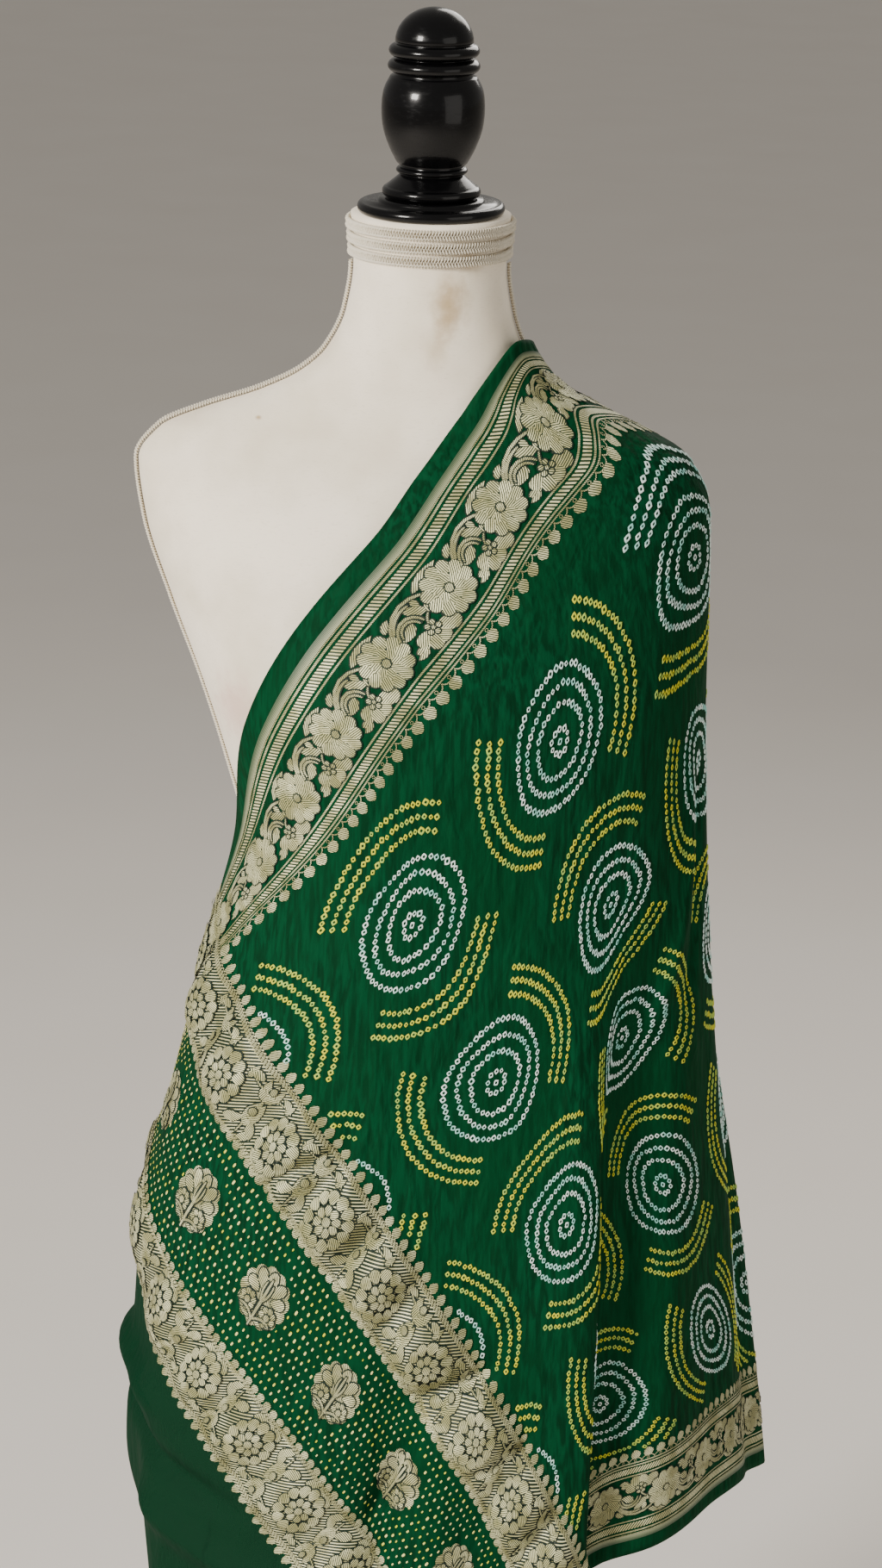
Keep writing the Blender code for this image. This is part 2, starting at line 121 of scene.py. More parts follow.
# How the flat cloth lies, as in the part
CLOTH_WIDTH = 0.986
BORDER = 0.093
CROSS_STATIONS = (0.0, BORDER, 0.270, 0.586, CLOTH_WIDTH - BORDER)
LAY_ROWS = (
    # along, then turn and height of the edge, the inner line, the upper part, the lower part, the lower line
    (0.000, -150, 0.680, -138, 0.655, -106, 0.590, -57, 0.430, -31, 0.270),
    (0.177, -122, 0.820, -107, 0.790, -62, 0.705, -9, 0.530, 18, 0.335),
    (0.335, -93, 0.976, -73, 0.945, -30, 0.857, 17, 0.643, 42, 0.440),
    (0.493, -50, 1.154, -18, 1.098, 8, 0.965, 38, 0.750, 60, 0.535),
    (0.572, -30, 1.226, -1, 1.167, 22, 1.030, 46, 0.800, 75, 0.546),
    (0.651, -10, 1.296, 15, 1.237, 35, 1.094, 55, 0.845, 91, 0.552),
    (0.730, 6, 1.363, 30, 1.307, 52, 1.145, 77, 0.865, 104, 0.544),
    (0.809, 62, 1.424, 68, 1.361, 71, 1.195, 99, 0.885, 116, 0.535),
    (0.935, 150, 1.378, 140, 1.325, 134, 1.190, 128, 0.860, 144, 0.510),
    (1.070, 184, 1.290, 178, 1.230, 172, 1.060, 168, 0.790, 177, 0.490),
    (1.230, 214, 1.160, 214, 1.095, 214, 0.950, 214, 0.700, 214, 0.470),
)
CLOTH_LENGTH = LAY_ROWS[-1][0]
FAN_END = 10.0

PLEAT_TURN = 38.0
PLEAT_DEPTH = 9.0
PLEAT_TOP = 1.050
PLEAT_FULL = 0.450
PLEAT_LAYER = 0.006
PLEAT_UPRIGHT = 0.50
PLEAT_FLAT = 0.80
PLEAT_EASE = 2.4
PLEAT_RAMP = 30.0
PLEAT_LEAN = 9.0
PLEAT_LEAN_SPREAD = 35.0
PLEAT_SLIP = 0.090

FOLD_ROWS = (
    # head turn, head height, foot turn, foot height, half width, rise
    (-100, 0.900, -96, 0.300, 9, 0.006),
    (-80, 0.900, -76, 0.260, 8, -0.010),
    (-62, 0.760, -56, 0.220, 8, 0.012),
    (-40, 0.700, -38, 0.200, 8, -0.009),
    (6, 0.800, -4, 0.560, 5, -0.012),
    (12, 0.760, 8, 0.520, 5, 0.008),
    (62, 1.150, 66, 0.420, 7, 0.006),
    (80, 1.200, 84, 0.400, 8, -0.006),
)
FLUTE_FROM = 104.0
FLUTE_TO = 212.0
FLUTE_COUNT = 6
FLUTE_TOP = 1.320
FLUTE_FULL = 0.500
FLUTE_RISE = 0.022

# Where the weave's parts lie along the cloth
END_BAND = (0.144, 0.209)
FIELD_BAND = (0.302, 0.367)
SPRIG_LINE = 0.256


def along_rows(rows, place):
    """Monotone cubic through a table's rows, which never overshoots them."""
    values = np.array(rows, dtype=float)
    keys, values = values[:, 0], values[:, 1:]
    slopes = np.diff(values, axis=0) / np.diff(keys)[:, None]
    tangents = np.zeros_like(values)
    product = slopes[1:] * slopes[:-1]
    total = slopes[1:] + slopes[:-1]
    total[product <= 0] = 1.0
    tangents[1:-1] = np.where(product > 0, 2 * product / total, 0.0)
    tangents[0] = slopes[0]
    tangents[-1] = slopes[-1]
    place = np.clip(place, keys[0], keys[-1])
    row = np.clip(np.searchsorted(keys, place, side="right") - 1, 0, len(keys) - 2)
    step = (keys[row + 1] - keys[row])[..., None]
    q = (place - keys[row])[..., None] / step
    return (values[row] * (1 + 2 * q) * (1 - q) ** 2 + tangents[row] * step * q * (1 - q) ** 2
            + values[row + 1] * q * q * (3 - 2 * q) + tangents[row + 1] * step * q * q * (q - 1))


def ease(x):
    """0 below 0, 1 above 1, and 3x^2 - 2x^3 between."""
    x = np.clip(x, 0.0, 1.0)
    return x * x * (3 - 2 * x)


def half_ellipses(turn, left, right, front, back):
    """x = a sin(turn), y = -b cos(turn), with another a and b on each side."""
    angle = np.radians(turn)
    x = np.where(np.sin(angle) > 0, right, left) * np.sin(angle)
    y = -np.where(np.cos(angle) > 0, front, back) * np.cos(angle)
    return x, y


def torso_point(turn, height, away=0.0):
    """The form's skin: half ellipses at each height, with two low round swells at the bust."""
    size = along_rows(TORSO_ROWS, height)
    left, right, front, back = (size[..., i] + away for i in range(4))
    x, y = half_ellipses(turn, left, right, front, back)
    reach = ((np.abs(x) - BUST_SIDE) ** 2 + (height - BUST_HEIGHT) ** 2) / BUST_SPREAD ** 2
    swell = BUST_RISE * np.exp(-reach) * np.clip(-y / 0.05, 0.0, 1.0)
    return np.stack([x, y - swell, height + 0 * x], axis=-1)


def hull_point(turn, height):
    """Half ellipses at each height, never nearer the form than the skin's clearance."""
    hull = along_rows(HULL_ROWS, height)
    body = along_rows(TORSO_ROWS, height) + SKIN_TO_CLOTH
    x, y = half_ellipses(turn, *(np.maximum(hull[..., i], body[..., i]) for i in range(4)))
    return np.stack([x, y, height + 0 * x], axis=-1)


def hull_normal(turn, height):
    """The cross product of a short step round the hull and a short step up it."""
    across = hull_point(turn + SLOPE_STEP, height) - hull_point(turn - SLOPE_STEP, height)
    upward = hull_point(turn, height + SLOPE_DROP) - hull_point(turn, height - SLOPE_DROP)
    normal = np.cross(across, upward)
    return normal / np.linalg.norm(normal, axis=-1, keepdims=True)


def pleat_growth(height):
    """How far the pleat has opened at a height, from 0 at its top to 1."""
    return np.clip((PLEAT_TOP - height) / (PLEAT_TOP - PLEAT_FULL), 0.0, 1.0)


def pleat_taken(column):
    """0 to 1 through the pleat's turned-back layer, as the difference of two softened ramps."""
    low = (column - PLEAT_TURN) / PLEAT_DEPTH
    soft = PLEAT_EASE / PLEAT_DEPTH / 4
    return soft * (np.logaddexp(0, low / soft) - np.logaddexp(0, (low - 1) / soft))


def soft_folds(column, height):
    """The sum of the single folds: a bell across each fold's line, easing in from its head."""
    rise = 0.0 * column
    for head_turn, head_height, foot_turn, foot_height, half_width, depth in FOLD_ROWS:
        down = (head_height - height) / (head_height - foot_height)
        centre = head_turn + (foot_turn - head_turn) * down
        rise = rise + depth * ease(down) * np.exp(-((column - centre) / half_width) ** 2)
    return rise


def flutes(column, height):
    """The back's gathers: a raised cosine round the back that deepens downwards."""
    down = (FLUTE_TOP - height) / (FLUTE_TOP - FLUTE_FULL)
    wave = (column - FLUTE_FROM) / (FLUTE_TO - FLUTE_FROM)
    inside = ease(wave / 0.12) * ease((1 - wave) / 0.06 + 0.4)
    ripple = 0.5 - 0.5 * np.cos(2 * np.pi * FLUTE_COUNT * wave)
    return FLUTE_RISE * ease(down) * inside * ripple


def drape(column, height):
    """Where a column and height come to lie: the hull's point plus the layers and folds along its normal."""
    growth = pleat_growth(height)
    taken = pleat_taken(column)
    lean = PLEAT_LEAN * np.exp(-((column - PLEAT_TURN) / PLEAT_LEAN_SPREAD) ** 2)
    turn = column - growth * (lean + 2 * PLEAT_DEPTH * taken)
    risen = height + PLEAT_SLIP * growth * taken
    ramp = ease((column - PLEAT_TURN + PLEAT_RAMP) / PLEAT_RAMP)
    edge_turn = ease((column - PLEAT_TURN) / PLEAT_EASE + 0.5)
    inner_turn = ease((column - PLEAT_TURN - PLEAT_DEPTH) / PLEAT_EASE + 0.5)
    turned_over = ease((growth - PLEAT_UPRIGHT) / (PLEAT_FLAT - PLEAT_UPRIGHT))
    step_down = (1 - turned_over) * taken + turned_over * (edge_turn + inner_turn) / 2
    lift = 2 * PLEAT_LAYER * ease(growth / PLEAT_UPRIGHT) * (ramp - step_down)
    lift = lift + soft_folds(column, height) + flutes(column, height)
    return hull_point(turn, risen) + hull_normal(turn, risen) * lift[..., None]


def lay(along, across):
    """The turn and height of a flat place: a cubic through the five stations of its cross line."""
    pairs = along_rows(LAY_ROWS, along).reshape(-1, len(CROSS_STATIONS), 2)
    stations = np.array(CROSS_STATIONS)
    steps = np.diff(stations)
    slopes = np.diff(pairs, axis=1) / steps[:, None]
    weights = steps[:, None]
    middle = (slopes[:, :-1] * weights[1:] + slopes[:, 1:] * weights[:-1]) / (weights[1:] + weights[:-1])
    tangents = np.concatenate([slopes[:, :1], middle, slopes[:, -1:]], axis=1)
    inside = np.clip(across, stations[0], stations[-1])
    row = np.clip(np.searchsorted(stations, inside, side="right") - 1, 0, len(steps) - 1)
    step = steps[row][:, None]
    q = ((inside - stations[row]) / steps[row])[:, None]
    each = np.arange(len(pairs))
    place = (pairs[each, row] * (1 + 2 * q) * (1 - q) ** 2 + tangents[each, row] * step * q * (1 - q) ** 2
             + pairs[each, row + 1] * q * q * (3 - 2 * q) + tangents[each, row + 1] * step * q * q * (q - 1))
    return place[:, 0], place[:, 1] - (across - inside)


# How finely the cloth is worked out
CLOTH_ROWS = 190
FAN_COLUMNS = 100
COLUMN_STOPS = (
    # from, to, steps
    (10.0, 30.0, 18),
    (30.0, 36.0, 8),
    (36.0, 50.0, 26),
    (50.0, 104.0, 36),
    (104.0, 214.0, 62),
)
CLOTH_THICKNESS = 0.0005
ON_TOP = 0.00055

# Soft relief that only the scene has, on the flat cloth
RUFFLE_PITCH = 0.077
RUFFLE_RISE = 0.0130
CREASE_ROWS = (
    # from u, from v, to u, to v, half width, rise
    (0.290, 0.500, 0.385, 0.560, 0.0090, -0.012),
    (0.300, 0.595, 0.375, 0.630, 0.0060, -0.008),
    (0.285, 0.279, 0.375, 0.310, 0.0070, -0.008),
    (0.205, 0.560, 0.300, 0.530, 0.0090, -0.006),
    (0.837, 0.316, 0.700, 0.560, 0.0120, -0.005),
    (0.800, 0.307, 0.660, 0.560, 0.0090, 0.004),
    (0.010, 0.150, 0.135, 0.390, 0.0160, 0.010),
    (0.020, 0.260, 0.140, 0.500, 0.0120, -0.010),
    (0.037, 0.390, 0.140, 0.620, 0.0140, 0.010),
    (0.010, 0.520, 0.135, 0.720, 0.0120, -0.010),
)
PLEAT_EDGE_RISE = 0.004
PLEAT_SHADE_DROP = 0.010


def crease_relief(u, v):
    """The sum of soft troughs and ridges: a bell across each line that fades towards its two ends."""
    rise = 0.0 * u
    for u0, v0, u1, v1, half_width, depth in CREASE_ROWS:
        length = np.hypot(u1 - u0, v1 - v0)
        along = ((u - u0) * (u1 - u0) + (v - v0) * (v1 - v0)) / length ** 2
        aside = ((u - u0) * (v1 - v0) - (v - v0) * (u1 - u0)) / length
        rise = rise + depth * np.exp(-(aside / half_width) ** 2) * ease(along / 0.3) * ease((1 - along) / 0.3)
    return rise


def band_ruffles(u, v):
    """The stiff cross bands bulge: 1 - |cos|^3 along them, round across them, less at the loose end."""
    rise = 0.0 * u
    for (low, high), share in ((FIELD_BAND, 1.0), (END_BAND, 0.5)):
        middle = (low + high) / 2
        round_across = np.exp(-((u - middle) / 0.029) ** 4)
        wave = 1 - np.abs(np.cos(np.pi * (v / RUFFLE_PITCH + 0.22 * np.sin(v * 17)))) ** 3
        rise = rise + RUFFLE_RISE * share * round_across * wave
    return rise * ease(v / 0.15) * ease((CLOTH_WIDTH - v) / 0.10)


def pleat_relief(turn, height):
    """A low ridge along the pleat's edge and a trough where the cloth comes out from under it."""
    growth = ease(2.5 * pleat_growth(height))
    ridge = PLEAT_EDGE_RISE * np.exp(-((turn - PLEAT_TURN + 4) / 5) ** 2)
    trough = PLEAT_SHADE_DROP * np.exp(-((turn - PLEAT_TURN - 2 * PLEAT_DEPTH) / 7) ** 2)
    return growth * (ridge - trough)


class ClothSurface:
    """The hanging cloth as a grid of points and normals that can be read at any flat place."""

    def __init__(self):
        self.across = np.linspace(0, CLOTH_WIDTH, CLOTH_ROWS + 1)
        stops = [np.linspace(a, b, steps, endpoint=False) for a, b, steps in COLUMN_STOPS]
        self.columns = np.concatenate(stops + [[COLUMN_STOPS[-1][1]]])
        along = np.linspace(0, CLOTH_LENGTH, 851)
        flat_u, flat_v = np.meshgrid(along, self.across, indexing="ij")
        turns = lay(flat_u.ravel(), flat_v.ravel())[0].reshape(flat_u.shape)
        turns = np.maximum.accumulate(turns, axis=0)
        upright = np.stack([np.interp(self.columns, turn, along) for turn in turns.T], axis=1)
        self.fan_edge = upright[0]
        fan = np.linspace(0, 1, FAN_COLUMNS, endpoint=False)[:, None]
        self.u = np.concatenate([fan * self.fan_edge, upright])
        self.v = self.across + 0 * self.u
        turn, height = lay(self.u.ravel(), self.v.ravel())
        points = drape(turn, height).reshape(*self.u.shape, 3)
        normals = self.outward(points)
        relief = crease_relief(self.u, self.v) + band_ruffles(self.u, self.v)
        relief = relief + pleat_relief(turn, height).reshape(self.u.shape)
        self.points = points + normals * relief[..., None]
        self.normals = self.outward(self.points)

    @staticmethod
    def outward(points):
        """The cross product of the grid's two differences at each point."""
        normal = np.cross(np.gradient(points, axis=0), -np.gradient(points, axis=1))
        return normal / np.linalg.norm(normal, axis=-1, keepdims=True)

    def at(self, u, v, lift):
        """Points over flat places, by bilinear steps in the grid, lifted along the normal."""
        shape = u.shape
        u = np.clip(u.ravel(), 0, CLOTH_LENGTH)
        v = np.clip(v.ravel(), 0, CLOTH_WIDTH)
        turn = lay(u, v)[0]
        in_fan = FAN_COLUMNS * u / np.interp(v, self.across, self.fan_edge)
        past_fan = FAN_COLUMNS + np.interp(turn, self.columns, np.arange(len(self.columns)))
        i = np.clip(np.where(turn < FAN_END, in_fan, past_fan), 0, len(self.u) - 1.001)
        j = np.clip(v / CLOTH_WIDTH * CLOTH_ROWS, 0, CLOTH_ROWS - 0.001)
        i0, j0 = i.astype(int), j.astype(int)
        fi, fj = (i - i0)[:, None], (j - j0)[:, None]

        def blend(grid):
            return ((grid[i0, j0] * (1 - fi) + grid[i0 + 1, j0] * fi) * (1 - fj)
                    + (grid[i0, j0 + 1] * (1 - fi) + grid[i0 + 1, j0 + 1] * fi) * fj)

        place = blend(self.points) + blend(self.normals) * np.broadcast_to(lift, shape).reshape(-1, 1)
        return place.reshape(*shape, 3)


SURFACE = ClothSurface()


def linear(colour):
    """An sRGB hex value as linear red, green and blue."""
    parts = np.array([int(colour[i:i + 2], 16) for i in (1, 3, 5)]) / 255
    return tuple(np.where(parts <= 0.04045, parts / 12.92, ((parts + 0.055) / 1.055) ** 2.4))


def rgba(colour):
    """A colour property or an sRGB hex value with full alpha."""
    return (*(linear(colour) if isinstance(colour, str) else colour), 1.0)


def add_node(tree, kind, inputs=(), **settings):
    """Adds a node with its settings. Each input is a socket to link or a value to set."""
    made = tree.nodes.new(kind)
    for name, value in settings.items():
        setattr(made, name, value)
    for name, value in dict(inputs).items():
        if isinstance(value, bpy.types.NodeSocket):
            tree.links.new(value, made.inputs[name])
        else:
            made.inputs[name].default_value = value
    return made


def new_material(name):
    """A material with only its Principled shader, and that shader and its tree."""
    made = bpy.data.materials.new(name)
    made.use_nodes = True
    return made, made.node_tree, made.node_tree.nodes["Principled BSDF"]


def blend_colours(tree, factor, first, second):
    """The colour socket of a mix of two colours or sockets."""
    return add_node(tree, "ShaderNodeMix", {0: factor, 6: first, 7: second}, data_type="RGBA").outputs[2]


def range_of(tree, value, low, high, to_low=0.0, to_high=1.0):
    """The socket of a value carried from one range to another, clamped."""
    inputs = {"Value": value, "From Min": low, "From Max": high, "To Min": to_low, "To Max": to_high}
    return add_node(tree, "ShaderNodeMapRange", inputs, interpolation_type="SMOOTHSTEP").outputs["Result"]


def flat_place(tree, scale, turn=0.0):
    """The piece's own flat place in metres, scaled and turned."""
    flat = add_node(tree, "ShaderNodeUVMap", uv_map="flat")
    inputs = {"Vector": flat.outputs["UV"], "Scale": scale, "Rotation": (0, 0, np.radians(turn))}
    return add_node(tree, "ShaderNodeMapping", inputs).outputs["Vector"]


def form_place(tree, scale=(1, 1, 1), location=(0, 0, 0)):
    """The place on a piece in metres, scaled."""
    place = add_node(tree, "ShaderNodeTexCoord").outputs["Object"]
    inputs = {"Vector": place, "Scale": scale, "Location": location}
    return add_node(tree, "ShaderNodeMapping", inputs).outputs["Vector"]


def bump_of(tree, height, strength, distance, below=None):
    """The normal socket of a bump, over another one where there is one."""
    inputs = {"Height": height, "Strength": strength, "Distance": distance}
    if below is not None:
        inputs["Normal"] = below
    return add_node(tree, "ShaderNodeBump", inputs).outputs["Normal"]


def noise(tree, place, scale, detail=2.0, **more):
    """The value socket of a noise at a place."""
    inputs = {"Vector": place, "Scale": scale, "Detail": detail, **more}
    return add_node(tree, "ShaderNodeTexNoise", inputs).outputs["Fac"]


def wire(tree, shader, **sockets):
    """Links sockets to the shader: colour, normal, roughness, metallic or alpha."""
    names = {"colour": "Base Color", "normal": "Normal", "roughness": "Roughness", "metallic": "Metallic",
             "alpha": "Alpha"}
    for name, socket in sockets.items():
        tree.links.new(socket, shader.inputs[names[name]])


def per_mm(size):
    """How many of a size in millimetres go into a metre."""
    return 1000.0 / size


def patch_mesh(name, batches, materials, body="root"):
    """A piece of many grid patches. A batch: points (n, a, b, 3), flat places (n, a, b, 2), a material."""
    points, faces, flats, kinds, count = [], [], [], [], 0
    for place, flat, kind in batches:
        n, a, b = place.shape[:3]
        index = np.arange(n * a * b).reshape(n, a, b) + count
        corners = (index[:, :-1, :-1], index[:, 1:, :-1], index[:, 1:, 1:], index[:, :-1, 1:])
        faces.append(np.stack(corners, axis=-1).reshape(-1, 4))
        points.append(place.reshape(-1, 3))
        flats.append(flat.reshape(-1, 2))
        kinds.append(np.full(len(faces[-1]), kind))
        count += n * a * b
    points, faces, flats, kinds = (np.concatenate(x) for x in (points, faces, flats, kinds))
    mesh = bpy.data.meshes.new(name)
    mesh.vertices.add(len(points))
    mesh.vertices.foreach_set("co", points.ravel())
    mesh.loops.add(faces.size)
    mesh.loops.foreach_set("vertex_index", faces.ravel().astype(np.int32))
    mesh.polygons.add(len(faces))
    mesh.polygons.foreach_set("loop_start", np.arange(0, faces.size, 4, dtype=np.int32))
    mesh.polygons.foreach_set("material_index", kinds.astype(np.int32))
    mesh.update(calc_edges=True)
    layer = mesh.uv_layers.new(name="flat")
    layer.data.foreach_set("uv", flats[faces.ravel()].ravel())
    mesh.validate()
    mesh.shade_smooth()
    for made in materials:
        mesh.materials.append(made)
    piece = bpy.data.objects.new(name, mesh)
    bpy.context.scene.collection.objects.link(piece)
    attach(piece, body)
    return piece


# The georgette's noises in mm: across the form twice, then upright
CRINKLE_MM = (3.4, 3.4, 30.0)
PUCKER_MM = (8.0, 8.0, 14.0)
RUMPLE_MM = (22.0, 22.0, 60.0)


def georgette(settings):
    """Silk georgette, twisted yarn woven loose: matt, finely crinkled upright, sheerer at its plain end, with
    painted shade in the crinkles' hollows and painted highlight on their ridges.
    """
    made, tree, shader = new_material("green_georgette")
    crinkle = noise(tree, form_place(tree, tuple(map(per_mm, CRINKLE_MM))), 1.0, Distortion=0.4)
    pucker = noise(tree, form_place(tree, tuple(map(per_mm, PUCKER_MM))), 1.0, 3.0)
    rumple = noise(tree, form_place(tree, tuple(map(per_mm, RUMPLE_MM))), 1.0, Distortion=1.0)
    drift = noise(tree, flat_place(tree, (per_mm(120.0), per_mm(160.0), 1)), 1.0)
    along = add_node(tree, "ShaderNodeSeparateXYZ", {0: flat_place(tree, (1, 1, 1))})
    plain = range_of(tree, along.outputs["X"], END_BAND[0] + 0.004, END_BAND[0] - 0.004)
    # Painted shade and highlight: the crinkle noise that drives the bump also darkens the colour in its
    # hollows and lightens it on its ridges
    relief_shading = blend_colours(tree, range_of(tree, crinkle, 0.34, 0.66),
                         rgba(settings.deep_green_and_crinkle_shade), rgba(settings.green_ridge_highlight))
    amount = range_of(tree, drift, 0.3, 0.7, 0.15, 0.55)
    colour = blend_colours(tree, amount, rgba(settings.green), relief_shading)
    colour = blend_colours(tree, plain, colour, rgba(settings.green_sheer))
    bump = bump_of(tree, crinkle, 0.45, 0.0010)
    bump = bump_of(tree, pucker, 0.55, 0.0016, bump)
    bump = bump_of(tree, rumple, 0.6, 0.0060, bump)
    wire(tree, shader, colour=colour, normal=bump,
         alpha=range_of(tree, plain, 0.0, 1.0, 1.0, settings.plain_cover))
    shader.inputs["Roughness"].default_value = 0.75
    shader.inputs["Specular IOR Level"].default_value = 0.06
    return made


def make_cloth(settings):
    """The one sheet, on the grid of the cloth's surface, given its two faces by a thin Solidify."""
    flat = np.stack([SURFACE.u, SURFACE.v], axis=-1)
    piece = patch_mesh("draped_cloth", [(SURFACE.points[None, :, ::-1], flat[None, :, ::-1], 0)],
                       [georgette(settings)])
    skin = piece.modifiers.new("two_faces", "SOLIDIFY")
    skin.thickness = CLOTH_THICKNESS
    skin.offset = 0.0
    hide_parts("cloth")
    return piece


# The form's own pieces
TORSO_COLUMNS = 180
TORSO_RINGS = 220
NECK_BRAID_FOOT = 1.478
NECK_BRAID_ROWS = 3
# half width, thickness, pitch and strand radius of the plaited trims
NECK_PLAIT = (0.0030, 0.0018, 0.0062, 0.00115)
SIDE_PLAIT = (0.0026, 0.0014, 0.0060, 0.00110)
SIDE_BRAID_TOP = 1.474
SIDE_BRAID_FOOT = 0.700
URN_ROWS = (
    # radius, below the dome's foot
    (0.0300, 0.0235),
    (0.0345, 0.0330),
    (0.0359, 0.0460),
    (0.0345, 0.0600),
    (0.0300, 0.0730),
    (0.0248, 0.0830),
)
STAIN_ROWS = (
    # x, z, half width, half height, strength, on the form's front
    (0.014, 1.452, 0.016, 0.030, 0.75),
    (0.006, 1.420, 0.012, 0.020, 0.35),
    (0.026, 1.484, 0.014, 0.016, 0.40),
    (-0.118, 1.366, 0.003, 0.002, 0.80),
)
STAIN_COLOUR = "#A98A55"
BLUSH_PLACE = (-0.130, 1.165, 0.024, 0.036)
BLUSH_STRENGTH = 0.42
BLUSH_COLOUR = "#C98F86"


def patch_of_colour(tree, place, x, z, half_width, half_height):
    """1 at a place on the form's front and 0 past its half sizes, broken at its edge by noise."""
    scaled = add_node(tree, "ShaderNodeMapping", {
        "Vector": place, "Scale": (1 / half_width, 0.0, 1 / half_height),
        "Location": (-x / half_width, 0.0, -z / half_height)})
    distance = add_node(tree, "ShaderNodeVectorMath", {0: scaled.outputs["Vector"]}, operation="LENGTH")
    ragged = noise(tree, place, per_mm(9.0), 3.0)
    edge = add_node(tree, "ShaderNodeMath", {0: distance.outputs["Value"], 1: ragged}, operation="ADD")
    return range_of(tree, edge.outputs[0], 0.5, 1.6, 1.0, 0.0)


def linen(settings):
    """Plain-woven linen, bleached and stretched: matt, off-white, uneven threads, a few old stains."""
    made, tree, shader = new_material("linen")
    place = form_place(tree)
    object_place = add_node(tree, "ShaderNodeTexCoord").outputs["Object"]
    front = add_node(tree, "ShaderNodeSeparateXYZ", {0: object_place})
    weft, warp = (add_node(tree, "ShaderNodeTexWave", {
        "Vector": flat_place(tree, (per_mm(1.0), per_mm(1.0), 1)), "Scale": 0.8, "Distortion": 1.2,
        "Detail": 2.0}, bands_direction=way).outputs["Fac"] for way in "YX")
    weave = add_node(tree, "ShaderNodeMath", {0: weft, 1: warp}, operation="MULTIPLY").outputs[0]
    slub = noise(tree, form_place(tree, (per_mm(4.0), per_mm(4.0), per_mm(0.9))), 1.0)
    clouds = noise(tree, place, per_mm(70.0), 3.0)
    light = rgba(settings.linen)
    shade = rgba(settings.linen_shade)
    colour = blend_colours(tree, range_of(tree, clouds, 0.35, 0.75, 0.0, 0.7), light, shade)
    colour = blend_colours(tree, range_of(tree, slub, 0.55, 0.75, 0.0, 0.35), colour, shade)
    for x, z, half_width, half_height, strength in STAIN_ROWS:
        spot = patch_of_colour(tree, place, x, z, half_width, half_height)
        faded = add_node(tree, "ShaderNodeMath", {0: spot, 1: strength}, operation="MULTIPLY")
        in_front = add_node(tree, "ShaderNodeMath", {0: front.outputs["Y"], 1: 0.0}, operation="LESS_THAN")
        amount = add_node(tree, "ShaderNodeMath", {0: faded.outputs[0], 1: in_front.outputs[0]},
                          operation="MULTIPLY")
        colour = blend_colours(tree, amount.outputs[0], colour, rgba(STAIN_COLOUR))
    blush = patch_of_colour(tree, place, *BLUSH_PLACE)
    faded = add_node(tree, "ShaderNodeMath", {0: blush, 1: BLUSH_STRENGTH}, operation="MULTIPLY")
    colour = blend_colours(tree, faded.outputs[0], colour, rgba(BLUSH_COLOUR))
    wire(tree, shader, colour=colour, normal=bump_of(tree, weave, 0.30, 0.0004))
    shader.inputs["Roughness"].default_value = 0.88
    shader.inputs["Sheen Weight"].default_value = 0.15
    return made


def cotton_braid(settings):
    """Plaited cotton trim: matt, off-white, each strand's twist as fine slanted lines with painted shade in
    their hollows.
    """
    made, tree, shader = new_material("cotton_braid")
    twist = add_node(tree, "ShaderNodeTexWave", {
        "Vector": flat_place(tree, (per_mm(0.9), per_mm(0.9), 1)), "Scale": 1.0},
        bands_direction="DIAGONAL")
    # Painted shade: where the twist's bump dips, the colour goes to the darker braid_shade
    relief_shading = blend_colours(tree, twist.outputs["Fac"], rgba(settings.braid_shade), rgba(settings.braid))
    wire(tree, shader, colour=relief_shading, normal=bump_of(tree, twist.outputs["Fac"], 0.4, 0.0003))
    shader.inputs["Roughness"].default_value = 0.85
    return made


def black_lacquer(settings):
    """Turned wood under black gloss lacquer: mirror-smooth, with a clear coat and faint dust."""
    made, tree, shader = new_material("black_lacquer")
    dust = noise(tree, form_place(tree, (per_mm(6.0), per_mm(6.0), per_mm(2.5))), 1.0, 4.0)
    rings = noise(tree, form_place(tree, (per_mm(60.0), per_mm(60.0), per_mm(1.2))), 1.0)
    wire(tree, shader, roughness=range_of(tree, dust, 0.45, 0.80, 0.20, 0.36),
         normal=bump_of(tree, rings, 0.08, 0.0004))
    shader.inputs["Base Color"].default_value = rgba(settings.lacquer)
    shader.inputs["Specular IOR Level"].default_value = 0.16
    shader.inputs["Coat Weight"].default_value = 0.20
    shader.inputs["Coat Roughness"].default_value = 0.05
    return made


def satin_paint(settings):
    """Steel under black satin paint: even, half dull, with a faint orange-peel surface."""
    made, tree, shader = new_material("black_paint")
    peel = noise(tree, form_place(tree), per_mm(2.0))
    wire(tree, shader, roughness=range_of(tree, peel, 0.3, 0.7, 0.32, 0.42),
         normal=bump_of(tree, peel, 0.1, 0.0002))
    shader.inputs["Base Color"].default_value = rgba(settings.lacquer)
    return made


def turned_surface(profile, steps=96, between=6):
    """A profile of radius and height, smoothed between its corners and carried round the axis."""
    profile = np.array(profile)
    place = np.arange(len(profile))
    fine = np.linspace(0, len(profile) - 1, (len(profile) - 1) * between + 1)
    radius = np.interp(fine, place, profile[:, 0])
    height = np.interp(fine, place, profile[:, 1])
    angle = np.linspace(0, 2 * np.pi, steps + 1)[:, None]
    points = np.stack([radius * np.sin(angle), -radius * np.cos(angle), height + 0 * angle], axis=-1)
    flat = np.stack([angle * DOME_RADIUS + 0 * height, height + 0 * angle], axis=-1)
    return points[None], flat[None]


